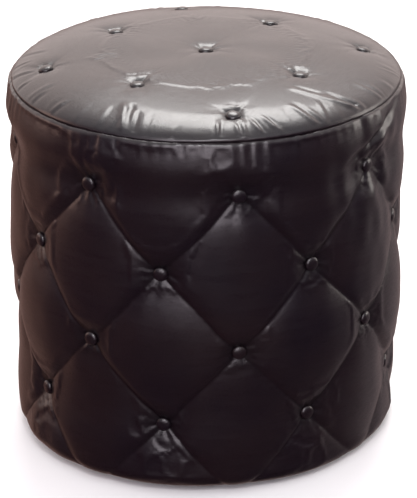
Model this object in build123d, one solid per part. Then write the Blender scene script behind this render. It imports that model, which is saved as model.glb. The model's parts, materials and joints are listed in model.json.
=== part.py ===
from build123d import *
import os
from math import asin, cos, pi, radians, sin

# Round storage ottoman: a padded, buttoned drum with a lift-off, padded, buttoned lid.
# Millimetres. Origin on the floor at the drum's axis, +Z up, the front faces -Y.
# Azimuths are counted from the front (-Y) towards +X.

# ---------------------------------------------------------------- driving dimensions
BODY_RADIUS = 226.0          # leather surface of the drum
RIM_HEIGHT = 436.0           # top of the drum's rim
OVERALL_HEIGHT = 470.0       # top of the lid's crown
RIM_ROLL = 8.0
FOOT_ROLL = 20.0
LID_GAP = 0.4                # air between the rim and the lid

LEATHER = 1.2
WADDING = 4.8
BOARD = 12.0                 # base board
DUST_CLOTH = 0.6
GLIDE_HEIGHT = 6.0

SHELL_OUTER = 206.0
SHELL_WALL = 3.0
HOOP_INNER = 183.0
HOOP_DEPTH = 24.8
POST_COUNT = 8
POST_RADIAL = 18.0
POST_WIDTH = 36.0
POST_INNER = 184.0
LINER_OUTER = 181.0
LINER_WALL = 3.0
LINER_TOP = 428.0
LINER_FLOOR = 3.0
TAPE = 0.8
TAPE_DROP = 12.0
RIM_TURN_DOWN = 414.0        # lower edge of the leather turned down inside the hoop
FOOT_TURN_UNDER = 190.0      # inner edge of the leather turned under the base
DUST_COVER_RADIUS = 198.0

PATTERN_TURN = 9.05          # azimuth of the first button column, degrees
COLUMNS = 8
BUTTON_ROWS = (373.0, 278.0, 183.0, 88.0)
SIDE_DIMPLE = 8.0
DIMPLE_MOUTH = 26.0
DIMPLE_FLOOR = 9.5

CAP_RADIUS = 8.25
CAP_EDGE = 1.8
CAP_HEIGHT = 6.0
PLATE_RADIUS = 6.5
PLATE = 0.8
EYE_LEG = 2.0
EYE_LOOP = 2.2
EYE_WIRE = 0.6
BIGHT_LOOP = 1.7
BIGHT_CORD = 0.6
POCKET_RADIUS = 4.0
POCKET_DEPTH = 6.8
TWINE_RADIUS = 1.0
TWINE_HOLE = 1.3
WASHER_RADIUS = 9.0
WASHER = 1.4
WASHER_CLEARANCE = 0.3       # flat washer against the shell's curved inside
SIDE_KNOT = 2.4
LID_KNOT = 1.4

LID_RADIUS = 225.5
LID_WIDEST = 445.0           # height of the lid's widest line
LID_BOARD_RADIUS = 212.0
LID_BOARD = 9.0
LID_TURN_UNDER = 168.0
LID_LINING = 0.8
LID_LINING_RADIUS = 176.0
LID_BUTTON_STEP = 132.4      # distance from the middle button to its four neighbours
LID_DIMPLE_INNER = 8.0
LID_DIMPLE_OUTER = 6.0
WASHER_SEAT_RADIUS = 10.0
WASHER_SEAT = 4.6
LID_SHOULDER = 12.0          # radius of the arc between the crown and the lid's side

RING_OUTER = 172.0
RING_INNER = 150.0
RING_DEPTH = 12.0
RING_SCREW_CIRCLE = 161.0

GLIDE_RADIUS = 15.0
GLIDE_CIRCLE = 174.0
GLIDE_COUNT = 4
GLIDE_SEAT_RADIUS = 4.5
GLIDE_SEAT = 3.2

SCREW_SHANK = 2.0
SCREW_HEAD = 4.0
SCREW_HEAD_DEPTH = 2.4
POST_SCREW = 40.0
GLIDE_SCREW = 13.0
RING_SCREW = 18.0
SCREW_COUNT = 8

STAPLE_CROWN = 10.0
STAPLE_LEG = 6.0
STAPLE_WIRE = 0.6
STAPLE_WIDTH = 1.0
STAPLE_COUNT = 24
RIM_STAPLE_HEIGHT = 422.0
FOOT_STAPLE_CIRCLE = 194.0
LINING_STAPLE_CIRCLE = 174.2

STRIP_WIDTH_ANGLE = 11.0     # the shell's joint strip, degrees
STRIP_WALL = 3.0
SLIT = 0.6
BACK = 180.0
DIAGONAL = 45.0

# ---------------------------------------------------------------- worked out from them
UNDERSIDE = GLIDE_HEIGHT + DUST_CLOTH            # outside of the leather under the base
BASE_BOTTOM = UNDERSIDE + LEATHER
BASE_TOP = BASE_BOTTOM + BOARD
HOOP_TOP = RIM_HEIGHT - LEATHER
HOOP_BOTTOM = HOOP_TOP - HOOP_DEPTH
SHELL_INNER = SHELL_OUTER - SHELL_WALL
PADDING = LEATHER + WADDING                      # leather surface to foam surface
FLOOR_TOP = BASE_TOP + LINER_FLOOR
LINER_INNER = LINER_OUTER - LINER_WALL
POST_MIDDLE = POST_INNER + POST_RADIAL / 2
SIDE_FLOOR_RADIUS = BODY_RADIUS - SIDE_DIMPLE    # where the side buttons sit
COLUMN_ANGLE = 360.0 / COLUMNS
LID_UNDERSIDE = RIM_HEIGHT + LID_GAP             # outside of the leather under the lid
LID_BOARD_BOTTOM = LID_UNDERSIDE + LEATHER
LID_BOARD_TOP = LID_BOARD_BOTTOM + LID_BOARD
LID_ROLL = LID_WIDEST - LID_UNDERSIDE
LINING_BOTTOM = LID_UNDERSIDE - LID_LINING
RING_BOTTOM = LINING_BOTTOM - RING_DEPTH
LID_RISE = OVERALL_HEIGHT - LID_WIDEST
# The crown's sphere meets the shoulder's arc without a corner.
CROWN_SPHERE = (
    ((LID_RADIUS - LID_SHOULDER) ** 2 + LID_RISE ** 2 - LID_SHOULDER ** 2) / (2 * (LID_RISE - LID_SHOULDER))
)
MARGIN = 12.0                                    # how far cutting tools run past a surface
OVERRUN = 1.0                                    # the same, where little room is left
TALL = 1200.0
BASE_ALIGN = (Align.CENTER, Align.CENTER, Align.MIN)


# ---------------------------------------------------------------- helpers
def disc(radius, bottom, top):
    """Solid cylinder about Z between two heights."""
    return Pos(0, 0, bottom) * Cylinder(radius, top - bottom, align=BASE_ALIGN)


def ring(inner, outer, bottom, top):
    """Tube about Z between two heights."""
    return disc(outer, bottom, top) - disc(inner, bottom - MARGIN, top + MARGIN)


def turned(*edges):
    """Solid of revolution about Z from a closed outline in the XZ plane."""
    return revolve(make_face(Wire(edges)), Axis.Z, 360)


def facing_out(radius, azimuth, height):
    """Place whose local +Z points away from the axis and local +Y points up."""
    a = radians(azimuth)
    outward = Vector(sin(a), -cos(a), 0)
    along = Vector(cos(a), sin(a), 0)
    return Plane(origin=outward * radius + Vector(0, 0, height), x_dir=along, z_dir=outward).location


def facing_up(radius, azimuth, height):
    """Place whose local +Z points up and local +X runs along the circle."""
    a = radians(azimuth)
    spot = Vector(radius * sin(a), -radius * cos(a), height)
    return Plane(origin=spot, x_dir=Vector(cos(a), sin(a), 0), z_dir=Vector(0, 0, 1)).location


def facing_down(radius, azimuth, height):
    """Place whose local +Z points down and local +X runs along the circle."""
    a = radians(azimuth)
    spot = Vector(radius * sin(a), -radius * cos(a), height)
    return Plane(origin=spot, x_dir=Vector(cos(a), sin(a), 0), z_dir=Vector(0, 0, -1)).location


def facing_in(radius, azimuth, height):
    """Place whose local +Z points at the axis and local +X runs along the circle."""
    a = radians(azimuth)
    spot = Vector(radius * sin(a), -radius * cos(a), height)
    return Plane(origin=spot, x_dir=Vector(cos(a), sin(a), 0), z_dir=Vector(-sin(a), cos(a), 0)).location


def rod(radius, low, high):
    """Cylinder along local Z between two local heights."""
    return Pos(0, 0, low) * Cylinder(radius, high - low, align=BASE_ALIGN)


def copies(shape, places):
    """The same solid at each place."""
    return [place * shape for place in places]


def screw(length, countersunk):
    """Screw pointing along local -Z, its head's top at local zero."""
    shank = rod(SCREW_SHANK, -length, -SCREW_HEAD_DEPTH)
    if countersunk:
        cone = Cone(SCREW_SHANK, SCREW_HEAD, SCREW_HEAD_DEPTH, align=BASE_ALIGN)
        head = Pos(0, 0, -SCREW_HEAD_DEPTH) * cone
    else:
        head = rod(SCREW_HEAD, -SCREW_HEAD_DEPTH, 0)
    return head + shank


def staple():
    """Staple whose crown lies on local zero along X, its legs pointing along local -Z."""
    crown = Box(STAPLE_CROWN, STAPLE_WIDTH, STAPLE_WIRE, align=BASE_ALIGN)
    leg = Pos(0, 0, -STAPLE_LEG) * Box(STAPLE_WIRE, STAPLE_WIDTH, STAPLE_LEG, align=BASE_ALIGN)
    reach = (STAPLE_CROWN - STAPLE_WIRE) / 2
    return crown + Pos(reach, 0, 0) * leg + Pos(-reach, 0, 0) * leg


# ---------------------------------------------------------------- padded outlines
def side_envelope(inset):
    """The drum's padded outside, drawn in by an inset: a straight wall with a rolled rim and foot."""
    top, bottom = RIM_HEIGHT - inset, UNDERSIDE + inset
    side = BODY_RADIUS - inset
    roll_start = (side, 0, RIM_HEIGHT - RIM_ROLL)
    roll_end = (BODY_RADIUS - RIM_ROLL, 0, top)
    foot_start = (side, 0, UNDERSIDE + FOOT_ROLL)
    foot_end = (BODY_RADIUS - FOOT_ROLL, 0, bottom)
    rim_reach, foot_reach = (RIM_ROLL - inset) * sin(pi / 4), (FOOT_ROLL - inset) * sin(pi / 4)
    rim_middle = (BODY_RADIUS - RIM_ROLL + rim_reach, 0, RIM_HEIGHT - RIM_ROLL + rim_reach)
    foot_middle = (BODY_RADIUS - FOOT_ROLL + foot_reach, 0, UNDERSIDE + FOOT_ROLL - foot_reach)
    return turned(
        Line((0, 0, bottom), (0, 0, top)),
        Line((0, 0, top), roll_end),
        ThreePointArc(roll_end, rim_middle, roll_start),
        Line(roll_start, foot_start),
        ThreePointArc(foot_start, foot_middle, foot_end),
        Line(foot_end, (0, 0, bottom)),
    )


def crown_height(radius, inset=0.0):
    """Height of the lid's domed surface at a radius, before the buttons pull it down."""
    sphere = CROWN_SPHERE - inset
    return OVERALL_HEIGHT - CROWN_SPHERE + (sphere ** 2 - radius ** 2) ** 0.5


def lid_envelope(inset):
    """The lid's padded outside, drawn in by an inset: a shallow dome, a shoulder and a rolled edge."""
    reach, shoulder = LID_RADIUS - inset, LID_SHOULDER - inset
    bend = asin((LID_RADIUS - LID_SHOULDER) / (CROWN_SPHERE - LID_SHOULDER))
    dome_top = (0, 0, OVERALL_HEIGHT - inset)
    dome_end_radius = (CROWN_SPHERE - inset) * sin(bend)
    dome_end = (dome_end_radius, 0, crown_height(dome_end_radius, inset))
    dome_middle = (dome_end_radius / 2, 0, crown_height(dome_end_radius / 2, inset))
    halfway = (bend + pi / 2) / 2
    shoulder_x = LID_RADIUS - LID_SHOULDER + shoulder * sin(halfway)
    shoulder_middle = (shoulder_x, 0, LID_WIDEST + shoulder * cos(halfway))
    widest = (reach, 0, LID_WIDEST)
    bottom = LID_UNDERSIDE + min(inset, LEATHER)
    roll = LID_ROLL - min(inset, LEATHER)
    roll_end = (reach - roll, 0, bottom)
    roll_middle = (reach - roll + roll * sin(pi / 4), 0, LID_WIDEST - roll * sin(pi / 4))
    return turned(
        ThreePointArc(dome_top, dome_middle, dome_end),
        ThreePointArc(dome_end, shoulder_middle, widest),
        ThreePointArc(widest, roll_middle, roll_end),
        Line(roll_end, (0, 0, bottom)),
        Line((0, 0, bottom), dome_top),
    )


def dimple(inset):
    """Tufting dimple about local Z, drawn in by an inset, running well past the surface."""
    slope = (DIMPLE_MOUTH - DIMPLE_FLOOR) / SIDE_DIMPLE
    depth = SIDE_DIMPLE + MARGIN
    cone = Cone(DIMPLE_FLOOR, DIMPLE_FLOOR + slope * depth, depth, align=BASE_ALIGN)
    return Pos(0, 0, -inset) * cone


def bowl(inset):
    """Round-bottomed dimple of the same floor and mouth, for the domed lid, drawn in by an inset."""
    centre = (DIMPLE_MOUTH ** 2 - DIMPLE_FLOOR ** 2 + SIDE_DIMPLE ** 2) / (2 * SIDE_DIMPLE)
    return Pos(0, 0, centre - inset) * Sphere((DIMPLE_FLOOR ** 2 + centre ** 2) ** 0.5)


def tufted(envelope, hollow, places):
    """A padded solid with a hollow at each button."""
    return envelope - copies(hollow, places)


# ---------------------------------------------------------------- buttons and their fixings
def button_cap():
    """Leather-covered domed button, its rim at local zero, with a seat for the back plate."""
    rise = CAP_HEIGHT - CAP_EDGE
    sphere = (CAP_RADIUS ** 2 + rise ** 2) / (2 * rise)
    across = CAP_RADIUS / 2
    middle = (across, 0, CAP_HEIGHT - sphere + (sphere ** 2 - across ** 2) ** 0.5)
    return turned(
        Line((0, 0, PLATE), (0, 0, CAP_HEIGHT)),
        ThreePointArc((0, 0, CAP_HEIGHT), middle, (CAP_RADIUS, 0, CAP_EDGE)),
        Line((CAP_RADIUS, 0, CAP_EDGE), (CAP_RADIUS, 0, 0)),
        Line((CAP_RADIUS, 0, 0), (PLATE_RADIUS, 0, 0)),
        Line((PLATE_RADIUS, 0, 0), (PLATE_RADIUS, 0, PLATE)),
        Line((PLATE_RADIUS, 0, PLATE), (0, 0, PLATE)),
    )


def button_eye():
    """Back plate with a wire eye that the twine is looped through."""
    plate = rod(PLATE_RADIUS, 0, PLATE)
    leg = rod(EYE_WIRE, -EYE_LEG, 0)
    loop = Rot(90, 0, 0) * Torus(EYE_LOOP, EYE_WIRE)
    lower_half = Pos(0, 0, -MARGIN) * Box(MARGIN, MARGIN, MARGIN, align=BASE_ALIGN)
    bend = Pos(0, 0, -EYE_LEG) * (loop & lower_half)
    return plate + Pos(EYE_LOOP, 0, 0) * leg + Pos(-EYE_LOOP, 0, 0) * leg + bend


def twine(knot_at, knot_radius):
    """Tufting twine along local -Z: a bight through the eye, the cord and its end knot."""
    eye_bottom = -(EYE_LEG + EYE_LOOP)
    bight = Pos(0, 0, eye_bottom) * (Rot(0, 90, 0) * Torus(BIGHT_LOOP, BIGHT_CORD))
    cord = rod(TWINE_RADIUS, knot_at, eye_bottom - BIGHT_LOOP)
    knot = Pos(0, 0, knot_at) * Sphere(knot_radius)
    return bight + cord + knot


def washer():
    """Plain washer under a knot, its upper face at local zero."""
    return rod(WASHER_RADIUS, -WASHER, 0) - rod(TWINE_HOLE, -MARGIN, MARGIN)


# ---------------------------------------------------------------- places of what repeats
side_buttons = []
for row, height in enumerate(BUTTON_ROWS):
    row_turn = PATTERN_TURN + (row % 2) * COLUMN_ANGLE / 2
    for column in range(COLUMNS):
        side_buttons.append(facing_out(SIDE_FLOOR_RADIUS, row_turn + column * COLUMN_ANGLE, height))

# The middle button, four nearest neighbours on the diagonals and four further ones along the rows.
lid_rings = [
    (0.0, 1, 0.0, LID_DIMPLE_INNER),
    (LID_BUTTON_STEP, 4, DIAGONAL, LID_DIMPLE_INNER),
    (LID_BUTTON_STEP * 2 ** 0.5, 4, 0.0, LID_DIMPLE_OUTER),
]
lid_buttons = []
for reach, count, start, depth in lid_rings:
    for step in range(count):
        around = PATTERN_TURN + start + step * 360.0 / count
        lid_buttons.append(facing_up(reach, around, crown_height(reach) - depth))

post_turns = [PATTERN_TURN + COLUMN_ANGLE / 4 + step * COLUMN_ANGLE for step in range(POST_COUNT)]
staple_turns = [PATTERN_TURN + step * 360.0 / STAPLE_COUNT for step in range(STAPLE_COUNT)]
ring_turns = [PATTERN_TURN + step * 360.0 / SCREW_COUNT for step in range(SCREW_COUNT)]
glide_turns = [DIAGONAL + step * 360.0 / GLIDE_COUNT for step in range(GLIDE_COUNT)]

nodes = {}


# ---------------------------------------------------------------- fixings, made first to cut their holes
foot_staples = copies(staple(), [facing_down(FOOT_STAPLE_CIRCLE, a, GLIDE_HEIGHT) for a in staple_turns])
inner_edge = HOOP_INNER - LEATHER
rim_staples = copies(staple(), [facing_in(inner_edge, a, RIM_STAPLE_HEIGHT) for a in staple_turns])
lining_staples = copies(
    staple(), [facing_down(LINING_STAPLE_CIRCLE, a, LINING_BOTTOM) for a in staple_turns]
)
post_screw = screw(POST_SCREW, True)
lower_screws = copies(post_screw, [facing_down(POST_MIDDLE, a, BASE_BOTTOM) for a in post_turns])
upper_screws = copies(post_screw, [facing_up(POST_MIDDLE, a, HOOP_TOP) for a in post_turns])
glide_screw = screw(GLIDE_SCREW + SCREW_HEAD_DEPTH, False)
glide_screw_level = GLIDE_SEAT - SCREW_HEAD_DEPTH
glide_screws = copies(glide_screw, [facing_down(GLIDE_CIRCLE, a, glide_screw_level) for a in glide_turns])
ring_screw = screw(RING_SCREW, True)
ring_screws = copies(ring_screw, [facing_down(RING_SCREW_CIRCLE, a, RING_BOTTOM) for a in ring_turns])

side_pockets = copies(rod(POCKET_RADIUS, -POCKET_DEPTH, MARGIN), side_buttons)
side_hole_depth = SIDE_FLOOR_RADIUS - SHELL_INNER + MARGIN / 2
side_holes = copies(rod(TWINE_HOLE, -side_hole_depth, 0), side_buttons)
lid_hole = rod(TWINE_HOLE, -OVERALL_HEIGHT + LID_BOARD_BOTTOM, 0)
lid_pockets = copies(rod(POCKET_RADIUS, -POCKET_DEPTH, MARGIN), lid_buttons)
lid_bores = copies(lid_hole + rod(POCKET_RADIUS, -POCKET_DEPTH, MARGIN), lid_buttons)


# ---------------------------------------------------------------- drum: frame
nodes["base_board"] = disc(SHELL_INNER, BASE_BOTTOM, BASE_TOP) - foot_staples - lower_screws - glide_screws
nodes["top_hoop"] = ring(HOOP_INNER, SHELL_INNER, HOOP_BOTTOM, HOOP_TOP) - rim_staples - upper_screws

post_height = HOOP_BOTTOM - BASE_TOP
for number, around in enumerate(post_turns, start=1):
    place = facing_up(POST_MIDDLE, around, BASE_TOP)
    post = place * Box(POST_WIDTH, POST_RADIAL, post_height, align=BASE_ALIGN)
    nodes[f"post_{number}"] = post - lower_screws[number - 1] - upper_screws[number - 1]

slit = facing_out(SHELL_OUTER, BACK, 0) * Box(SLIT, TALL, MARGIN)
shell = ring(SHELL_INNER, SHELL_OUTER, BASE_BOTTOM, HOOP_TOP) - slit
nodes["drum_shell"] = shell - side_holes

strip_tube = ring(SHELL_INNER - STRIP_WALL, SHELL_INNER, BASE_TOP, HOOP_BOTTOM)
strip_width = 2 * SHELL_INNER * sin(radians(STRIP_WIDTH_ANGLE / 2))
strip_slab = facing_out(SHELL_INNER, BACK, 0) * Box(strip_width, TALL, MARGIN * 2)
nodes["shell_joint_strip"] = strip_tube & strip_slab


# ---------------------------------------------------------------- drum: padding and leather
core = disc(SHELL_OUTER, 0, TALL)
leather_outside = tufted(side_envelope(0), dimple(0), side_buttons)
leather_inside = tufted(side_envelope(LEATHER), dimple(LEATHER), side_buttons)
foam_outside = tufted(side_envelope(PADDING), dimple(PADDING), side_buttons)

mouth = disc(HOOP_INNER - LEATHER, RIM_HEIGHT - MARGIN, RIM_HEIGHT + MARGIN)
underneath = disc(FOOT_TURN_UNDER, 0, BASE_BOTTOM + OVERRUN)
turn_down = ring(HOOP_INNER - LEATHER, HOOP_INNER, RIM_TURN_DOWN, RIM_HEIGHT - LEATHER / 2)
skin = leather_outside - leather_inside - mouth - underneath
nodes["side_cover"] = (skin + turn_down) - side_pockets - rim_staples - foot_staples
nodes["side_wadding"] = leather_inside - foam_outside - core - side_pockets
nodes["side_foam"] = foam_outside - core - side_pockets - side_holes


# ---------------------------------------------------------------- drum: buttons
washer_top = SHELL_INNER - SIDE_FLOOR_RADIUS - WASHER_CLEARANCE
side_knot_at = washer_top - WASHER - SIDE_KNOT
nodes["side_button_caps"] = copies(button_cap(), side_buttons)
nodes["side_button_eyes"] = copies(button_eye(), side_buttons)
nodes["side_button_twines"] = copies(twine(side_knot_at, SIDE_KNOT), side_buttons)
nodes["side_button_washers"] = copies(Pos(0, 0, washer_top) * washer(), side_buttons)


# ---------------------------------------------------------------- drum: liner, underside and glides
nodes["liner_floor"] = disc(LINER_OUTER, BASE_TOP, FLOOR_TOP)
nodes["liner_wall"] = ring(LINER_INNER, LINER_OUTER, FLOOR_TOP, LINER_TOP)
tape_outside = ring(LINER_INNER - TAPE, LINER_OUTER, LINER_TOP - TAPE_DROP, LINER_TOP + TAPE)
nodes["rim_tape"] = tape_outside - ring(LINER_INNER, LINER_OUTER + MARGIN, 0, LINER_TOP)
dust_cover = disc(DUST_COVER_RADIUS, GLIDE_HEIGHT, GLIDE_HEIGHT + DUST_CLOTH)
nodes["dust_cover"] = dust_cover - foot_staples - glide_screws

glide_seat = rod(GLIDE_SEAT_RADIUS, -MARGIN, GLIDE_SEAT)
glide = rod(GLIDE_RADIUS, 0, GLIDE_HEIGHT) - glide_seat - rod(SCREW_SHANK, 0, GLIDE_HEIGHT + OVERRUN)
for number, around in enumerate(glide_turns, start=1):
    nodes[f"glide_{number}"] = facing_up(GLIDE_CIRCLE, around, 0) * glide

nodes["glide_screws"] = glide_screws
nodes["post_screws_lower"] = lower_screws
nodes["post_screws_upper"] = upper_screws
nodes["dust_cover_staples"] = foot_staples
nodes["rim_staples"] = rim_staples


# ---------------------------------------------------------------- lid
seats = []
lid_twines = []
lid_washers = []
for place in lid_buttons:
    spot = place.position
    seats.append(Pos(spot.X, spot.Y, LID_BOARD_BOTTOM) * rod(WASHER_SEAT_RADIUS, -OVERRUN, WASHER_SEAT))
    seat_top = LID_BOARD_BOTTOM + WASHER_SEAT
    lid_washers.append(Pos(spot.X, spot.Y, seat_top) * washer())
    knot_at = seat_top - WASHER - LID_KNOT - spot.Z
    lid_twines.append(place * twine(knot_at, LID_KNOT))

board = disc(LID_BOARD_RADIUS, LID_BOARD_BOTTOM, LID_BOARD_TOP)
lid_leather_outside = tufted(lid_envelope(0), bowl(0), lid_buttons)
lid_leather_inside = tufted(lid_envelope(LEATHER), bowl(LEATHER), lid_buttons)
lid_foam_outside = tufted(lid_envelope(PADDING), bowl(PADDING), lid_buttons)
lid_foam_block = tufted(lid_envelope(PADDING) - board, bowl(PADDING), lid_buttons)
lid_opening = disc(LID_TURN_UNDER, LID_UNDERSIDE - OVERRUN, LID_BOARD_BOTTOM)

nodes["lid_board"] = board - seats - copies(lid_hole, lid_buttons) - ring_screws - lining_staples
nodes["lid_foam"] = lid_foam_block - lid_bores
nodes["lid_wadding"] = lid_leather_inside - lid_foam_outside - lid_bores
nodes["lid_cover"] = lid_leather_outside - lid_leather_inside - lid_opening - lid_pockets - lining_staples
nodes["lid_button_caps"] = copies(button_cap(), lid_buttons)
nodes["lid_button_eyes"] = copies(button_eye(), lid_buttons)
nodes["lid_button_twines"] = lid_twines
nodes["lid_button_washers"] = lid_washers
lining = disc(LID_LINING_RADIUS, LINING_BOTTOM, LID_UNDERSIDE)
nodes["lid_lining"] = lining - ring_screws - lining_staples
nodes["locating_ring"] = ring(RING_INNER, RING_OUTER, RING_BOTTOM, LINING_BOTTOM) - ring_screws
nodes["locating_ring_screws"] = ring_screws
nodes["lid_lining_staples"] = lining_staples


# ---------------------------------------------------------------- one STEP file for each node
os.makedirs("parts", exist_ok=True)
for name, shape in nodes.items():
    solids = shape if isinstance(shape, list) else [shape]
    parts = [solid for item in solids for solid in item.solids()]
    export_step(Compound(children=parts), f"parts/{name}.step")
    print(f"{name}: {len(parts)} solid(s)")
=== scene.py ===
"""Round storage ottoman in glossy espresso leather, with a buttoned drum and a lift-off buttoned lid.

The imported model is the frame. This script gives it its looks: the tufted leather and its covered buttons,
the linings, timber, foam and metal, and a plain pale studio. Lengths are metres unless a name says otherwise.
"""
import json
import logging
import math
from dataclasses import dataclass
from enum import Enum

import bmesh
import bpy
import numpy as np
from mathutils import Matrix, Vector


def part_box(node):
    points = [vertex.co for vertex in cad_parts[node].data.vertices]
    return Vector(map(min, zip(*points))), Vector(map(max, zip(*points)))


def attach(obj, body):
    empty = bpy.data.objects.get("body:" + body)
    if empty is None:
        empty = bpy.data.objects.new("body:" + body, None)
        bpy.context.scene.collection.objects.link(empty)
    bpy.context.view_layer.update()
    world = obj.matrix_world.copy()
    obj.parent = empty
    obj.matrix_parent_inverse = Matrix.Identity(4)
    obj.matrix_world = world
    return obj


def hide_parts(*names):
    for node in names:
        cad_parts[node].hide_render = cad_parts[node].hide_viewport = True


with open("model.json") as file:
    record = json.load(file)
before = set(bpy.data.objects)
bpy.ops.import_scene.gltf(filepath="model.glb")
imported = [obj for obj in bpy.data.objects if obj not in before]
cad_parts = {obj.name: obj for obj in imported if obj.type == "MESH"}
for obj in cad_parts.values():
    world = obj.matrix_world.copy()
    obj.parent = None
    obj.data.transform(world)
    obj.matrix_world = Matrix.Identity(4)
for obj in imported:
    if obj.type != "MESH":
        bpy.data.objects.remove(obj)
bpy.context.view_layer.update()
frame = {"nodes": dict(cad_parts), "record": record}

LOG = logging.getLogger("ottoman")
MM = 0.001
TURN = 2.0 * math.pi
CAP_RADIUS = 8.25 * MM                    # covered button, out to its gathered edge
BUTTON_ROWS = 4
LEATHER = 1.2 * MM                        # thickness where the leather is turned in
PAD_COLUMNS = 96
EDGE_SPACING, FLAT_SPACING, BACK_SPACING = 0.9 * MM, 3.0 * MM, 12.0 * MM
FAR_AWAY = 1.0                            # further than any point from its button, in metres
Field = np.ndarray
Piece = bpy.types.Object
Socket = bpy.types.NodeSocket
Node = bpy.types.Node
Tree = bpy.types.NodeTree


# ---------------------------------------------------------------- small maths
def smooth_step(values: Field, start: float, end: float) -> Field:
    """Rises smoothly from 0 at start to 1 at end."""
    share = np.clip((values - start) / (end - start), 0.0, 1.0)
    return share * share * (3.0 - 2.0 * share)


def falloff(distance: Field, width: float) -> Field:
    """Decays from 1 at no distance, over a width."""
    return np.exp(-np.abs(distance) / width)


def bell(distance: Field, width: float) -> Field:
    """Round bump of height 1 and the given half width."""
    return np.exp(-((distance / width) ** 2))


def wrapped(angle: Field) -> Field:
    """Angle brought into the half turn either side of zero."""
    return (angle + math.pi) % TURN - math.pi


@dataclass(frozen=True)
class Ripples:
    """A smooth uneven field round the drum, made of a few waves that close on themselves."""

    seed: int
    waves: int
    around_low: int
    around_high: int
    along_high: float

    def at(self, azimuth: Field, along: Field) -> Field:
        """Value of the field, about -1 to 1.

        Args:
            azimuth: angle round the axis, in radians.
            along: distance along the profile, in metres.

        Returns:
            The field at each point.
        """
        draw = np.random.default_rng(self.seed)
        total = np.zeros(np.broadcast(azimuth, along).shape)
        for _ in range(self.waves):
            around = int(draw.integers(self.around_low, self.around_high + 1))
            pitch = draw.uniform(-self.along_high, self.along_high)
            phase = draw.uniform(0.0, TURN)
            total += np.cos(around * azimuth + pitch * along + phase)
        return total / math.sqrt(self.waves)


# ---------------------------------------------------------------- meshes
class Ends(Enum):
    """How a lathed outline ends: on the axis, joined to its own start, or open."""

    POLES = "poles"
    LOOP = "loop"
    OPEN = "open"


def mesh_object(name: str, points: Field, faces: list) -> Piece:
    """New mesh object at the origin, with smooth faces that point outwards.

    Args:
        name: the piece's name.
        points: an array of places, one row each.
        faces: lists of point numbers.

    Returns:
        The linked object.
    """
    mesh = bpy.data.meshes.new(name)
    mesh.from_pydata(points.tolist(), [], faces)
    mesh.validate()
    form = bmesh.new()
    form.from_mesh(mesh)
    bmesh.ops.recalc_face_normals(form, faces=form.faces)
    form.to_mesh(mesh)
    form.free()
    mesh.polygons.foreach_set("use_smooth", [True] * len(mesh.polygons))
    piece = bpy.data.objects.new(name, mesh)
    bpy.context.scene.collection.objects.link(piece)
    return piece


def grid_faces(rows: int, columns: int, ends: Ends) -> list:
    """Faces of a lathed grid whose columns close round the axis.

    Args:
        rows: number of rings.
        columns: points in a ring.
        ends: whether the last ring joins the first, each end closes on a pole, or both stay open.

    Returns:
        Lists of point numbers. Poles are the two points after the grid.
    """
    faces = []
    for row in range(rows if ends is Ends.LOOP else rows - 1):
        this_ring = row * columns
        next_ring = ((row + 1) % rows) * columns
        for column in range(columns):
            beside = (column + 1) % columns
            faces.append((this_ring + column, this_ring + beside, next_ring + beside, next_ring + column))
    if ends is Ends.POLES:
        first_pole, last_pole = rows * columns, rows * columns + 1
        last_ring = (rows - 1) * columns
        for column in range(columns):
            beside = (column + 1) % columns
            faces.append((first_pole, beside, column))
            faces.append((last_pole, last_ring + column, last_ring + beside))
    return faces


@dataclass
class Outline:
    """An outline in the plane of the axis: radius and height along it, with the way it faces."""

    radius: Field
    height: Field

    def facing(self) -> tuple[Field, Field]:
        """Unit direction at right angles to the outline, on its left hand when walked along."""
        along_radius = np.gradient(self.radius)
        along_height = np.gradient(self.height)
        length = np.hypot(along_radius, along_height)
        return -along_height / length, along_radius / length

    def travelled(self) -> Field:
        """Distance walked along the outline."""
        steps = np.hypot(np.diff(self.radius), np.diff(self.height))
        return np.concatenate([[0.0], np.cumsum(steps)])


class OutlineMaker:
    """Walks an outline as straight runs and arcs, with a point spacing for each."""

    def __init__(self, radius: float, height: float) -> None:
        """Starts the walk at a point."""
        self.radius = [radius]
        self.height = [height]

    def line(self, radius: float, height: float, spacing: float) -> "OutlineMaker":
        """Straight run to a point."""
        here = (self.radius[-1], self.height[-1])
        count = max(1, round(math.hypot(radius - here[0], height - here[1]) / spacing))
        for step in range(1, count + 1):
            share = step / count
            self.radius.append(here[0] + (radius - here[0]) * share)
            self.height.append(here[1] + (height - here[1]) * share)
        return self

    def arc(self, centre: tuple, size: float, start: float, end: float, spacing: float) -> "OutlineMaker":
        """Arc about a centre between two angles in radians, counted from the outward direction."""
        count = max(2, round(abs(end - start) * size / spacing))
        for step in range(1, count + 1):
            angle = start + (end - start) * step / count
            self.radius.append(centre[0] + size * math.cos(angle))
            self.height.append(centre[1] + size * math.sin(angle))
        return self

    def done(self) -> Outline:
        """The walked outline."""
        return Outline(np.array(self.radius), np.array(self.height))


def revolve(radius: Field, height: Field, azimuth: Field) -> Field:
    """Places in space of a grid of radii and heights. Azimuth 0 faces -Y and turns towards +X."""
    return np.stack([radius * np.sin(azimuth), -radius * np.cos(azimuth), height + 0.0 * azimuth], axis=-1)


def ring(columns: int, step: int = 1) -> Field:
    """One row of azimuths: every point of a ring, or one in so many."""
    return (np.arange(0, columns, step) * TURN / columns)[None, :]


def lathe(name: str, outline: Outline, columns: int, ends: Ends) -> Piece:
    """Plain turned piece."""
    azimuth = ring(columns)
    grid = revolve(outline.radius[:, None], outline.height[:, None], azimuth).reshape(-1, 3)
    if ends is Ends.POLES:
        poles = [[0.0, 0.0, outline.height[0]], [0.0, 0.0, outline.height[-1]]]
        grid = np.concatenate([grid, np.array(poles)])
    return mesh_object(name, grid, grid_faces(len(outline.radius), columns, ends))


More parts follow.
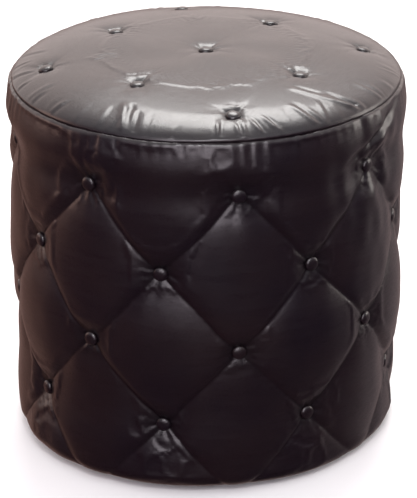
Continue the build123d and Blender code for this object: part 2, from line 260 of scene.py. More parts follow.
def give_attribute(piece: Piece, name: str, values: Field) -> None:
    """Stores one number for each point of a piece under a name that a material reads."""
    layer = piece.data.attributes.new(name, "FLOAT", "POINT")
    layer.data.foreach_set("value", np.asarray(values, dtype=np.float32).ravel())


# ---------------------------------------------------------------- node trees
class Bench:
    """Short way to lay out a node tree."""

    def __init__(self, tree: Tree) -> None:
        """Takes an empty tree."""
        self.tree = tree

    def add(self, kind: str, settings: dict | None = None, **feeds: object) -> Node:
        """Adds a node.

        Args:
            kind: the node's type name.
            settings: properties of the node.
            **feeds: an input's name, with spaces as underscores, or i and its number, and either a plain
                value or the socket that feeds it.

        Returns:
            The node.
        """
        node = self.tree.nodes.new(kind)
        for key, value in (settings or {}).items():
            setattr(node, key, value)
        for key, value in feeds.items():
            number = key[1:]
            counted = key[0] == "i" and number.isdigit()
            self.feed(value, node.inputs[int(number) if counted else key.replace("_", " ")])
        return node

    def feed(self, value: object, socket: Socket) -> None:
        """Links a socket to an input, or sets a plain value on it."""
        if isinstance(value, Socket):
            self.tree.links.new(value, socket)
        else:
            socket.default_value = value

    def group(self, tree: Tree, **feeds: object) -> Node:
        """Puts a shared group into the tree, fed as add feeds a node."""
        return self.add("ShaderNodeGroup", {"node_tree": tree}, **feeds)

    def math(self, operation: str, first: object, second: object = 0.0, clamp: bool = False) -> Socket:
        """Result of a sum on one or two numbers."""
        settings = {"operation": operation, "use_clamp": clamp}
        return self.add("ShaderNodeMath", settings, i0=first, i1=second).outputs[0]

    def plus(self, first: object, second: object, clamp: bool = False) -> Socket:
        """Two numbers added."""
        return self.math("ADD", first, second, clamp)

    def minus(self, first: object, second: object) -> Socket:
        """The second number taken from the first."""
        return self.math("SUBTRACT", first, second)

    def times(self, first: object, second: object, clamp: bool = False) -> Socket:
        """Two numbers multiplied."""
        return self.math("MULTIPLY", first, second, clamp)

    def blend(self, share: object, first: object, second: object) -> Socket:
        """Mix of two colours."""
        return self.add("ShaderNodeMix", {"data_type": "RGBA"}, Factor=share, i6=first, i7=second).outputs[2]

    def span(self, value: object, low: float, high: float, to_low: float, to_high: float) -> Socket:
        """A number moved from one range to another and held inside it."""
        node = self.add("ShaderNodeMapRange", None, Value=value)
        for name, number in (("From Min", low), ("From Max", high), ("To Min", to_low), ("To Max", to_high)):
            node.inputs[name].default_value = number
        return node.outputs[0]

    def noise(self, vector: object, scale: object, detail: float = 3.0, rough: float = 0.5) -> Socket:
        """Cloudy noise, 0 to 1."""
        return self.add("ShaderNodeTexNoise", None, Vector=vector, Scale=scale, Detail=detail,
                        Roughness=rough).outputs["Fac"]

    def stretch(self, vector: object, scale: tuple) -> Socket:
        """Coordinates scaled by a different amount along each axis."""
        return self.add("ShaderNodeMapping", None, Vector=vector, Scale=scale).outputs[0]

    def bump(self, height: object, strength: float, distance: float, **under: object) -> Socket:
        """Surface direction after a bump of the given height, over any bump beneath it."""
        return self.add("ShaderNodeBump", None, Height=height, Strength=strength, Distance=distance,
                        **under).outputs[0]

    def scatter(self, points: Socket, instance: Socket, rotation: Socket, scale: Socket,
                material: bpy.types.Material) -> Socket:
        """Real geometry of an instance at every point, in one material."""
        placed = self.add("GeometryNodeInstanceOnPoints", None, Points=points, Instance=instance,
                          Rotation=rotation, Scale=scale)
        solid = self.add("GeometryNodeRealizeInstances", None, Geometry=placed.outputs[0])
        return self.add("GeometryNodeSetMaterial", None, Geometry=solid.outputs[0],
                        Material=material).outputs[0]


def shader_group(name: str, inputs: dict, outputs: dict) -> tuple[Tree, Bench, Node]:
    """Empty shader node group with named sockets.

    Args:
        name: the group's name.
        inputs: socket names with their types and default values.
        outputs: socket names with their types.

    Returns:
        The tree, its bench and its input node.
    """
    tree = bpy.data.node_groups.new(name, "ShaderNodeTree")
    for label, (kind, value) in inputs.items():
        socket = tree.interface.new_socket(name=label, in_out="INPUT", socket_type=kind)
        if value is not None:
            socket.default_value = value
    for label, kind in outputs.items():
        tree.interface.new_socket(name=label, in_out="OUTPUT", socket_type=kind)
    bench = Bench(tree)
    return tree, bench, bench.add("NodeGroupInput")


FLOAT, VECTOR, WHOLE, GEOMETRY = (f"NodeSocket{kind}" for kind in ("Float", "Vector", "Int", "Geometry"))


def geometry_tree(name: str, inputs: dict, output: str) -> tuple[Tree, dict]:
    """Empty geometry node tree with named sockets.

    Args:
        name: the tree's name.
        inputs: socket names with their types.
        output: name of the geometry that it gives back.

    Returns:
        The tree, and the identifier of each input.
    """
    tree = bpy.data.node_groups.new(name, "GeometryNodeTree")
    identifiers = {}
    for label, kind in inputs.items():
        socket = tree.interface.new_socket(name=label, in_out="INPUT", socket_type=kind)
        identifiers[label] = socket.identifier
    tree.interface.new_socket(name=output, in_out="OUTPUT", socket_type=GEOMETRY)
    return tree, identifiers


def grain_group() -> Tree:
    """Pebble grain with fine pores: a height for bump and a mask of the hollows."""
    tree, bench, source = shader_group(
        "pebble_grain",
        {"Vector": (VECTOR, None), "Pebbles per metre": (FLOAT, 900.0), "Pore share": (FLOAT, 0.3)},
        {"Height": FLOAT, "Hollows": FLOAT},
    )
    place, scale, share = (source.outputs[n] for n in ("Vector", "Pebbles per metre", "Pore share"))
    cells = bench.add("ShaderNodeTexVoronoi", {"feature": "DISTANCE_TO_EDGE"}, Vector=place, Scale=scale)
    pebble = bench.span(cells.outputs["Distance"], 0.0, 0.25, 0.0, 1.0)
    fine_scale = bench.times(scale, 3.1)
    pores = bench.noise(place, fine_scale, 2.0)
    height = bench.plus(pebble, bench.times(pores, share))
    bench.add("NodeGroupOutput", None, Height=height, Hollows=bench.minus(1.0, pebble))
    return tree


def patches_group() -> Tree:
    """Slow uneven patches over a surface, for colour and sheen that is never quite even."""
    tree, bench, source = shader_group(
        "slow_patches",
        {"Vector": (VECTOR, None), "Patches per metre": (FLOAT, 9.0), "Contrast": (FLOAT, 1.0)},
        {"Mask": FLOAT, "Streaks": FLOAT},
    )
    place, scale = source.outputs["Vector"], source.outputs["Patches per metre"]
    broad = bench.noise(place, scale, 4.0, 0.6)
    centred = bench.times(bench.minus(broad, 0.5), source.outputs["Contrast"])
    mask = bench.plus(bench.times(centred, 2.0), 0.5, clamp=True)
    streaks = bench.noise(bench.stretch(place, (1.0, 1.0, 7.0)), bench.times(scale, 2.5), 5.0)
    bench.add("NodeGroupOutput", None, Mask=mask, Streaks=streaks)
    return tree


def wear_group() -> Tree:
    """Rubbed edges: a mask of the convex edges, broken up by noise."""
    tree, bench, source = shader_group(
        "rubbed_edges",
        {"Vector": (VECTOR, None), "Sharpness": (FLOAT, 14.0), "Break up per metre": (FLOAT, 120.0)},
        {"Mask": FLOAT},
    )
    bend = bench.add("ShaderNodeNewGeometry").outputs["Pointiness"]
    raised = bench.times(bench.minus(bend, 0.5), source.outputs["Sharpness"], clamp=True)
    broken = bench.noise(source.outputs["Vector"], source.outputs["Break up per metre"], 4.0)
    bench.add("NodeGroupOutput", None, Mask=bench.times(raised, broken, clamp=True))
    return tree


def weave_group() -> Tree:
    """Plain weave over a flat or a turned surface: thread height and a mask of the crossings."""
    tree, bench, source = shader_group(
        "plain_weave",
        {"Vector": (VECTOR, None), "Threads per metre": (FLOAT, 1600.0), "Turned radius": (FLOAT, 0.0)},
        {"Height": FLOAT, "Gaps": FLOAT},
    )
    axes = bench.add("ShaderNodeSeparateXYZ", None, Vector=source.outputs["Vector"])
    east, north, up = axes.outputs
    turned = bench.math("GREATER_THAN", source.outputs["Turned radius"], 0.0)
    around = bench.times(bench.math("ARCTAN2", east, north), source.outputs["Turned radius"])
    flat_part = bench.minus(1.0, turned)
    first = bench.plus(bench.times(around, turned), bench.times(east, flat_part))
    second = bench.plus(bench.times(up, turned), bench.times(north, flat_part))
    waves = []
    for line in (first, second):
        angle = bench.times(bench.times(line, source.outputs["Threads per metre"]), math.pi)
        waves.append(bench.math("SINE", angle))
    crossing = bench.times(waves[0], waves[1])
    height = bench.plus(bench.times(crossing, 0.5), 0.5)
    threads = bench.times(bench.math("ABSOLUTE", waves[0]), bench.math("ABSOLUTE", waves[1]))
    bench.add("NodeGroupOutput", None, Height=height, Gaps=bench.minus(1.0, threads))
    return tree


@dataclass
class Effects:
    """The shared node groups, each built once."""

    grain: Tree
    patches: Tree
    wear: Tree
    weave: Tree

    @classmethod
    def build(cls) -> "Effects":
        """Builds every group."""
        return cls(grain_group(), patches_group(), wear_group(), weave_group())


def blank_material(name: str) -> tuple[bpy.types.Material, Bench, Node, Socket]:
    """New material with a Principled shader.

    Returns:
        The material, its bench, the shader and the Object coordinates.
    """
    material = bpy.data.materials.new(name)
    material.use_nodes = True
    bench = Bench(material.node_tree)
    shader = next(n for n in material.node_tree.nodes if n.type == "BSDF_PRINCIPLED")
    place = bench.add("ShaderNodeTexCoord").outputs["Object"]
    return material, bench, shader, place


def tint(red: float, green: float, blue: float) -> tuple:
    """An opaque colour."""
    return (red, green, blue, 1.0)


def wire(bench: Bench, shader: Node, feeds: dict) -> None:
    """Links sockets to a shader's inputs, or sets plain values on them."""
    for label, value in feeds.items():
        bench.feed(value, shader.inputs[label])


@dataclass(frozen=True)
class LeatherFinish:
    """Glossy bonded leather: a dark body colour under a thin clear coat, with a fine pebble grain and painted
    shade in its dimples and creases.
    """

    name: str = "espresso_leather"
    # painted shade colour, blended in where the leather is gathered: the button dimples and the crease lines
    painted_crease_shade: tuple = tint(0.0020, 0.0010, 0.0020)
    body: tuple = tint(0.0042, 0.0018, 0.0044)
    warm: tuple = tint(0.0080, 0.0034, 0.0046)
    rubbed: tuple = tint(0.050, 0.034, 0.036)
    roughness: float = 0.26
    coat: float = 0.25
    coat_roughness: float = 0.12
    pebbles: float = 1100.0
    grain_depth: float = 0.00006
    crinkles: float = 85.0                # crinkles per metre
    wrinkle_depth: float = 0.0009

    def material(self, effects: Effects) -> bpy.types.Material:
        """Builds the material. It reads the pull attribute, which is high where the leather is gathered, to
        crinkle it and to darken it with painted shade in the button dimples and along the creases.
        """
        material, bench, shader, place = blank_material(self.name)
        grain = bench.group(effects.grain, Vector=place, Pebbles_per_metre=self.pebbles, Pore_share=0.35)
        patches = bench.group(effects.patches, Vector=place, Patches_per_metre=8.0, Contrast=1.2)
        wear = bench.group(effects.wear, Vector=place, Sharpness=9.0, Break_up_per_metre=160.0)
        pull = bench.add("ShaderNodeAttribute", {"attribute_name": "pull"}).outputs["Fac"]

        tone = bench.blend(patches.outputs["Mask"], self.body, self.warm)
        # painted shade: the tone goes darker towards the deep shade colour in the dimples and creases,
        # following the pull attribute
        tone = bench.blend(bench.span(pull, 0.15, 1.0, 0.0, 0.75), tone, self.painted_crease_shade)
        tone = bench.blend(bench.span(wear.outputs["Mask"], 0.1, 0.8, 0.0, 0.55), tone, self.rubbed)

        uneven = bench.times(bench.minus(patches.outputs["Streaks"], 0.5), 0.16)
        hollow = bench.times(grain.outputs["Hollows"], 0.10)
        rough = bench.plus(bench.plus(uneven, hollow), self.roughness)

        bent = bench.noise(place, self.crinkles, 3.0, 0.6)
        ridges = bench.add("ShaderNodeTexNoise", {"noise_type": "RIDGED_MULTIFRACTAL"}, Vector=place,
                           Scale=self.crinkles, Detail=3.0, Roughness=0.5, Distortion=0.6).outputs["Fac"]
        crinkle = bench.times(bench.plus(ridges, bent), bench.span(pull, 0.02, 0.7, 0.10, 1.0))
        coarse = bench.bump(crinkle, 0.55, self.wrinkle_depth)
        fine = bench.bump(grain.outputs["Height"], 0.6, self.grain_depth, Normal=coarse)
        wire(bench, shader, {
            "Base Color": tone, "Roughness": rough, "Normal": fine, "IOR": 1.48,
            "Coat Weight": self.coat, "Coat Roughness": self.coat_roughness, "Coat IOR": 1.5,
        })
        return material


@dataclass(frozen=True)
class TimberFinish:
    """Bare timber with rings along one axis, as planed pine or the face of plywood."""

    name: str
    early: tuple
    late: tuple
    stretch: tuple
    ring_scale: float = 55.0
    roughness: float = 0.62
    relief: float = 0.0003

    def material(self, effects: Effects) -> bpy.types.Material:
        """Builds the material."""
        material, bench, shader, place = blank_material(self.name)
        run = bench.stretch(place, self.stretch)
        bands = {"wave_type": "BANDS", "bands_direction": "DIAGONAL"}
        rings = bench.add("ShaderNodeTexWave", bands, Vector=run, Scale=self.ring_scale, Distortion=6.0,
                          Detail=3.0, Detail_Scale=1.4).outputs["Fac"]
        pores = bench.noise(run, self.ring_scale * 14.0, 4.0)
        patches = bench.group(effects.patches, Vector=place, Patches_per_metre=14.0, Contrast=0.8)
        wear = bench.group(effects.wear, Vector=place, Sharpness=6.0, Break_up_per_metre=240.0)
        tone = bench.blend(bench.span(rings, 0.2, 1.0, 0.0, 0.8), self.early, self.late)
        tone = bench.blend(bench.times(patches.outputs["Mask"], 0.25), tone, self.late)
        tone = bench.blend(bench.times(wear.outputs["Mask"], 0.4), tone, self.early)
        height = bench.plus(bench.times(rings, 0.6), bench.times(pores, 0.6))
        bump = bench.bump(height, 0.35, self.relief)
        rough = bench.plus(bench.times(pores, 0.15), self.roughness - 0.07)
        wire(bench, shader, {"Base Color": tone, "Roughness": rough, "Normal": bump})
        return material


@dataclass(frozen=True)
class ClothFinish:
    """Woven or bonded cloth, flat or on a turned wall."""

    name: str
    thread: tuple
    gap: tuple
    threads: float = 1500.0
    turned_radius: float = 0.0
    depth: float = 0.0003
    sheen: float = 0.35

    def material(self, effects: Effects) -> bpy.types.Material:
        """Builds the material."""
        material, bench, shader, place = blank_material(self.name)
        weave = bench.group(effects.weave, Vector=place, Threads_per_metre=self.threads,
                            Turned_radius=self.turned_radius)
        patches = bench.group(effects.patches, Vector=place, Patches_per_metre=18.0, Contrast=0.9)
        fuzz = bench.noise(place, self.threads * 0.8, 2.0)
        tone = bench.blend(bench.times(weave.outputs["Gaps"], 0.7), self.thread, self.gap)
        tone = bench.blend(bench.times(patches.outputs["Mask"], 0.22), tone, self.gap)
        height = bench.plus(weave.outputs["Height"], bench.times(fuzz, 0.5))
        bump = bench.bump(height, 0.7, self.depth)
        rough = bench.plus(bench.times(fuzz, 0.15), 0.80)
        wire(bench, shader, {
            "Base Color": tone, "Roughness": rough, "Normal": bump,
            "Sheen Weight": self.sheen, "Sheen Roughness": 0.4,
        })
        return material


@dataclass(frozen=True)
class FibreFinish:
    """Foam or fluffy wadding: open cells or matted fibres, quite matt."""

    name: str
    light: tuple
    dark: tuple
    cells: float
    depth: float = 0.0008

    def material(self, effects: Effects) -> bpy.types.Material:
        """Builds the material."""
        material, bench, shader, place = blank_material(self.name)
        grain = bench.group(effects.grain, Vector=place, Pebbles_per_metre=self.cells, Pore_share=0.8)
        patches = bench.group(effects.patches, Vector=place, Patches_per_metre=16.0, Contrast=1.0)
        tone = bench.blend(grain.outputs["Hollows"], self.light, self.dark)
        tone = bench.blend(bench.times(patches.outputs["Mask"], 0.3), tone, self.dark)
        bump = bench.bump(grain.outputs["Height"], 0.8, self.depth)
        rough = bench.plus(bench.times(grain.outputs["Hollows"], 0.08), 0.88)
        wire(bench, shader, {"Base Color": tone, "Roughness": rough, "Normal": bump})
        return material


@dataclass(frozen=True)
class HardFinish:
    """Zinc-plated steel or moulded plastic."""

    name: str
    tone: tuple
    dull: tuple
    metallic: float
    roughness: float
    mottle: float = 300.0
    brush_marks: float = 1900.0
    relief: float = 0.0001

    def material(self, effects: Effects) -> bpy.types.Material:
        """Builds the material."""
        material, bench, shader, place = blank_material(self.name)
        patches = bench.group(effects.patches, Vector=place, Patches_per_metre=self.mottle, Contrast=1.0)
        wear = bench.group(effects.wear, Vector=place, Sharpness=10.0, Break_up_per_metre=900.0)
        brushed = bench.noise(bench.stretch(place, (1.0, 1.0, 9.0)), self.brush_marks, 2.0)
        tone = bench.blend(bench.times(patches.outputs["Mask"], 0.5), self.tone, self.dull)
        tone = bench.blend(bench.times(wear.outputs["Mask"], 0.5), tone, self.tone)
        rough = bench.plus(bench.times(brushed, 0.16), self.roughness - 0.08)
        bump = bench.bump(brushed, 0.25, self.relief)
        wire(bench, shader, {
            "Base Color": tone, "Roughness": rough, "Metallic": self.metallic, "Normal": bump,
        })
        return material


class Finishes:
    """Every material of the ottoman, under the record's slot names."""

    def __init__(self, liner_radius: float, hoop_radius: float) -> None:
        """Builds all the materials.

        Args:
            liner_radius: radius of the lining wall that the lining's weave is turned round.
            hoop_radius: radius of the drum's shell.
        """
        effects = Effects.build()
        birch = (tint(0.66, 0.47, 0.27), tint(0.50, 0.32, 0.16))
        pine = (tint(0.74, 0.54, 0.30), tint(0.52, 0.31, 0.13))
        foam = (tint(0.78, 0.70, 0.48), tint(0.52, 0.44, 0.26))
        fleece = (tint(0.86, 0.86, 0.85), tint(0.62, 0.62, 0.62))
        black = (tint(0.022, 0.020, 0.021), tint(0.006, 0.005, 0.006))
        binding = (tint(0.030, 0.027, 0.028), black[1])
        felt = (tint(0.030, 0.030, 0.030), black[1])
        flax = (tint(0.60, 0.54, 0.40), tint(0.30, 0.25, 0.16))
        thread = (tint(0.020, 0.014, 0.014), tint(0.006, 0.004, 0.004))
        zinc = (tint(0.60, 0.60, 0.57), tint(0.42, 0.42, 0.40))
        nylon = (tint(0.030, 0.030, 0.031), tint(0.018, 0.018, 0.019))
        on_liner, on_hoop = {"turned_radius": liner_radius}, {"turned_radius": hoop_radius}
        finishes = {
            "leather": LeatherFinish(),
            "plywood": TimberFinish("birch_plywood", *birch, stretch=(0.35, 1.0, 3.0)),
            "pine": TimberFinish("planed_pine", *pine, stretch=(1.0, 1.0, 0.12)),
            "foam": FibreFinish("cushion_foam", *foam, cells=900.0),
            "wadding": FibreFinish("polyester_wadding", *fleece, cells=240.0, depth=0.002),
            "lining": ClothFinish("lining_wall_cloth", *black, **on_liner),
            "lining_flat": ClothFinish("lining_flat_cloth", *black),
            "tape": ClothFinish("binding_tape_cloth", *binding, threads=700.0, depth=0.0005, **on_liner),
            "dust_cloth": ClothFinish("spunbond_dust_cloth", *felt, threads=420.0, depth=0.0004, sheen=0.1),
            "twine": ClothFinish("waxed_twine", *flax, threads=1100.0, depth=0.0004, **on_hoop),
            "thread": ClothFinish("sewing_thread", *thread, threads=2600.0, depth=0.0002),
            "zinc_steel": HardFinish("zinc_plated_steel", *zinc, metallic=1.0, roughness=0.34),
            "glide_plastic": HardFinish("moulded_glide", *nylon, metallic=0.0, roughness=0.48, mottle=80.0),
        }
        self.made = {name: finish.material(effects) for name, finish in finishes.items()}

    def on(self, piece: Piece, name: str) -> None:
        """Gives a piece one material over all of its slots."""
        if not piece.data.materials:
            piece.data.materials.append(self.made[name])
        for number in range(len(piece.material_slots)):
            piece.material_slots[number].material = self.made[name]


# ---------------------------------------------------------------- the button pattern
@dataclass(frozen=True)
class Dimensions:
    """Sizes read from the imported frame, in metres."""

    radius: float
    rim: float
    underside: float
    lid_radius: float
    lid_bottom: float
    lid_top: float
    rows: tuple
    step: float

    @classmethod
    def read(cls) -> "Dimensions":
        """Reads the frame's boxes."""
        cover_low, cover_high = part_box("side_cover")
        lid_low, lid_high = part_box("lid_cover")
        caps_low, caps_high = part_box("side_button_caps")
        top_row = caps_high.z - CAP_RADIUS
        step = (top_row - caps_low.z - CAP_RADIUS) / (BUTTON_ROWS - 1)
        rows = tuple(top_row - number * step for number in range(BUTTON_ROWS))
        drum = {"radius": cover_high.y, "rim": cover_high.z, "underside": cover_low.z}
        lid = {"lid_radius": lid_high.y, "lid_bottom": lid_low.z, "lid_top": lid_high.z}
        return cls(**drum, **lid, rows=rows, step=step)


@dataclass(frozen=True)
class SidePattern:
    """The diamond pattern of the drum: where its buttons are, and how the leather is drawn in."""

    sizes: Dimensions
    first_column: float = math.radians(9.05)
    columns: int = 8
    seat_depth: float = 8.0 * MM          # button seat below the drum's surface
    crease_depth: float = 3.4 * MM        # crease halfway between two buttons
    pillow: float = 4.2 * MM              # middle of a panel above the drum's surface
    crease_line: float = 1.4 * MM         # narrow line at the bottom of a crease
    deepest: float = 14.5 * MM            # no part of the leather is drawn in further
    dimple_reach: float = 14.0 * MM
    upper_roll: float = 24.0 * MM         # how gently a panel rises from its upper creases
    lower_roll: float = 9.0 * MM          # how sharply it turns under at its lower ones
    valley_depth: float = 6.0 * MM        # soft valley along the top row
    band_swell: float = 1.5 * MM          # the band between the top row and the rim bulges further
    band_drop: float = 30.0 * MM          # middle of that band below the rim
    pleat_depth: float = 1.6 * MM         # pleats that run up from the top row
    pucker_depth: float = 0.95 * MM       # small folds round each button
    ripple_depth: float = 0.34 * MM       # fine unevenness everywhere
    line_width: float = 2.0 * MM

    def half_column(self) -> float:
        """Half the angle between two columns."""
        return TURN / self.columns / 2.0

    def places(self) -> list:
        """Azimuth and height of every button."""
        found = []
        for row, height in enumerate(self.sizes.rows):
            start = self.first_column + (row % 2) * self.half_column()
            found += [(start + number * 2.0 * self.half_column(), height) for number in range(self.columns)]
        return found

    def nearest(self, azimuth: Field, height: Field) -> tuple[Field, Field, Field]:
        """Distance to the nearest button, the angle round it, and which button it is."""
        shape = np.broadcast(azimuth, height).shape
        least = np.full(shape, FAR_AWAY)
        around = np.zeros(shape)
        which = np.zeros(shape)
        for number, (spot, level) in enumerate(self.places()):
            across = wrapped(azimuth - spot) * self.sizes.radius
            up = height - level
            far = np.hypot(across, up)
            closer = far < least
            least = np.where(closer, far, least)
            around = np.where(closer, np.arctan2(up, across), around)
            which = np.where(closer, number, which)
        return least, around, which

    def depth(self, azimuth: Field, height: Field) -> tuple[Field, Field]:
        """How far the leather is drawn in.

        Args:
            azimuth: angle round the axis.
            height: height above the floor.

        Returns:
            The depth below the drum's surface, and how strongly the leather is gathered, 0 to 1.
        """
        sizes = self.sizes
        across = wrapped(azimuth - self.first_column) / self.half_column()
        down = (sizes.rows[0] - height) / sizes.step
        wander = Ripples(11, 9, 3, 15, 40.0).at(azimuth, height) * 0.010
        first = (across + down) / 2.0 + wander
        second = (down - across) / 2.0 - wander
        pitch = math.hypot(self.half_column() * sizes.radius, sizes.step)
        rise = np.ones(np.broadcast(azimuth, height).shape)
        line = np.zeros_like(rise)
        for crease in (first, second):
            share = crease - np.floor(crease)
            upper = 1.0 - np.exp(-share * pitch / self.upper_roll)
            lower = 1.0 - np.exp(-(1.0 - share) * pitch / self.lower_roll)
            rise = rise * upper * lower
            line = np.maximum(line, falloff(np.minimum(share, 1.0 - share) * pitch, self.line_width))
        top = (1.0 - np.exp(-0.5 * pitch / self.upper_roll)) * (1.0 - np.exp(-0.5 * pitch / self.lower_roll))
        rise = np.minimum(rise / top ** 2, 1.05)

        above = smooth_step(-down, 0.0, 0.32)
        rise = rise * (1.0 - above) + above
        line = line * (1.0 - smooth_step(-down, -0.02, 0.05))
        foot = smooth_step(height, sizes.underside, sizes.underside + 60.0 * MM)
        near, around, which = self.nearest(azimuth, height)

        line = line * (0.25 + 0.75 * np.exp(-near / (42.0 * MM)))
        dimple = falloff(np.maximum(near - CAP_RADIUS * 0.7, 0.0), self.dimple_reach)
        floor = self.crease_depth + (self.seat_depth - self.crease_depth) * dimple
        depth = floor - (self.crease_depth + self.pillow) * rise * (1.0 - dimple)
        depth = depth * (0.35 + 0.65 * foot)
        depth += self.crease_line * line * (0.4 + 0.6 * foot)
        valley = bell(down, 0.22) * (0.65 + 0.35 * np.cos(across * math.pi))
        depth += self.valley_depth * valley * (1.0 - dimple)
        loose = 1.0 + 0.35 * Ripples(61, 6, 2, 9, 0.0).at(azimuth, height)
        depth -= self.band_swell * loose * bell(height - sizes.rim + self.band_drop, 20.0 * MM)
        column_gap = wrapped(self.columns * (azimuth - self.first_column)) / self.columns * sizes.radius
        pleat = falloff(column_gap, 2.6 * MM) * above * smooth_step(down, -0.62, -0.1)
        depth += self.pleat_depth * pleat

        pucker = np.cos(around * 7.0 + which * 2.1) + 0.7 * np.cos(around * 11.0 + which * 4.7)
        ring = smooth_step(near, 7.0 * MM, 12.0 * MM) * falloff(near, 13.0 * MM)
        depth += self.pucker_depth * pucker * ring
        ripple = Ripples(71, 14, 14, 46, 130.0).at(azimuth, height)
        depth += self.ripple_depth * ripple * (0.35 + 0.65 * np.exp(-near / (40.0 * MM)))
        pull = np.clip(dimple * 1.1 + 0.5 * line, 0.0, 1.0)
        free = 0.8 * self.deepest
        room = 0.2 * self.deepest
        over = np.maximum(depth - free, 0.0)
        return np.minimum(depth, free) + room * np.tanh(over / room), pull


# ---------------------------------------------------------------- cloth
@dataclass(frozen=True)
class ClothRun:
    """Settles a grid of leather by cloth simulation, held where it is sewn, stapled or buttoned."""

    pressure: float = 3.5
    growth: float = 0.009
    frames: int = 20
    cap: float = 1.0 * MM
    quality: int = 5
    mass: float = 0.35
    tension: float = 25.0
    compression: float = 8.0
    shear: float = 6.0
    bending: float = 0.25

    def settle(self, points: Field, outward: Field, held: Field) -> Field:
        """Runs the simulation.

        Args:
            points: grid of places, rows by columns by 3; the columns close round the axis.
            outward: unit direction at each place.
            held: how firmly each place is held, 0 to 1.

        Returns:
            How far each place moved outwards, in metres, no more than the cap.
        """
        rows, columns, _ = points.shape
        mesh = bpy.data.meshes.new("settling")
        mesh.from_pydata(points.reshape(-1, 3).tolist(), [], grid_faces(rows, columns, Ends.OPEN))
        cloth = bpy.data.objects.new("settling", mesh)
        bpy.context.scene.collection.objects.link(cloth)
        group = cloth.vertex_groups.new(name="held")
        for level in np.unique(np.round(held.ravel(), 1)):
            members = np.nonzero(np.round(held.ravel(), 1) == level)[0]
            group.add(members.tolist(), float(level), "REPLACE")
        modifier = cloth.modifiers.new("leather", "CLOTH")
        settings = modifier.settings
        settings.quality = self.quality
        settings.mass = self.mass
        settings.tension_stiffness = self.tension
        settings.compression_stiffness = self.compression
        settings.shear_stiffness = self.shear
        settings.bending_stiffness = self.bending
        settings.use_pressure = True
        settings.uniform_pressure_force = self.pressure
        settings.shrink_min = -self.growth
        settings.vertex_group_mass = "held"
        settings.pin_stiffness = 1.0
        settings.effector_weights.gravity = 0.0
        modifier.point_cache.frame_start = 1
        modifier.point_cache.frame_end = self.frames
        scene = bpy.context.scene
        for number in range(1, self.frames + 1):
            scene.frame_set(number)
        shown = cloth.evaluated_get(bpy.context.evaluated_depsgraph_get())
        after = np.empty(rows * columns * 3)
        shown.data.vertices.foreach_get("co", after)
        scene.frame_set(1)
        bpy.data.objects.remove(cloth)
        bpy.data.meshes.remove(mesh)
        moved = ((after.reshape(points.shape) - points) * outward).sum(axis=-1)
        return self.cap * np.tanh(np.nan_to_num(moved) / self.cap)


def spread(coarse: Field, rows: Field, columns: int) -> Field:
    """Spreads a coarse field over a finer grid.

    Args:
        coarse: values on the coarse grid, whose columns close round the axis.
        rows: for each fine row, its place among the coarse rows.
        columns: number of fine columns.

    Returns:
        The values on the fine grid.
    """
    below = np.clip(np.floor(rows).astype(int), 0, coarse.shape[0] - 2)
    part = (rows - below)[:, None]
    down = coarse[below] * (1.0 - part) + coarse[below + 1] * part
    spots = np.arange(columns) * coarse.shape[1] / columns
    left = np.floor(spots).astype(int)
    share = (spots - left)[None, :]
    return down[:, left] * (1.0 - share) + down[:, (left + 1) % coarse.shape[1]] * share


def relaxed(run: ClothRun, face: Outline, moved: Field, lean: Field, firm: Field, steps: tuple) -> Field:
    """Outward movement of a skin after a cloth simulation on a coarser grid.

    Args:
        run: the simulation.
        face: outline of the skin's face.
        moved: how far each point already stands out from the outline.
        lean: how far each point is also moved away from the axis.
        firm: how firmly each point is held, 0 to 1.
        steps: how many of the skin's rows, and of its columns, there are to one of the cloth's.

    Returns:
        The movement of every point of the skin.
    """
    down, across = steps
    columns = moved.shape[1]
    azimuth = ring(columns, across)
    out_r, out_z = (v[::down, None] for v in face.facing())
    shift = moved[::down, ::across]
    radius = face.radius[::down, None] + shift * out_r + lean[::down, ::across]
    height = face.height[::down, None] + shift * out_z
    outward = revolve(out_r + 0.0 * azimuth, out_z + 0.0 * azimuth, azimuth)
    held = np.clip(firm[::down, ::across], 0.0, 1.0)
    change = run.settle(revolve(radius, height, azimuth), outward, held)
    rows = np.minimum(np.arange(len(face.radius)) / down, len(change) - 1.0)
    return spread(change, rows, columns)


# ---------------------------------------------------------------- the drum's leather
@dataclass(frozen=True)
class Swell:
    """A soft swelling of the drum's wall, or a hollow where its height is negative."""

    height: float
    azimuth: float        # its middle, in radians
    width: float          # half width round the drum, in radians
    level: float          # its middle, as a share of the wall's height
    tall: float           # half height, as a share of the wall's height

    def at(self, azimuth: Field, level: Field) -> Field:
        """How far the wall stands out at each point."""
        around = bell(wrapped(azimuth - self.azimuth), self.width)
        return self.height * around * bell(level - self.level, self.tall)


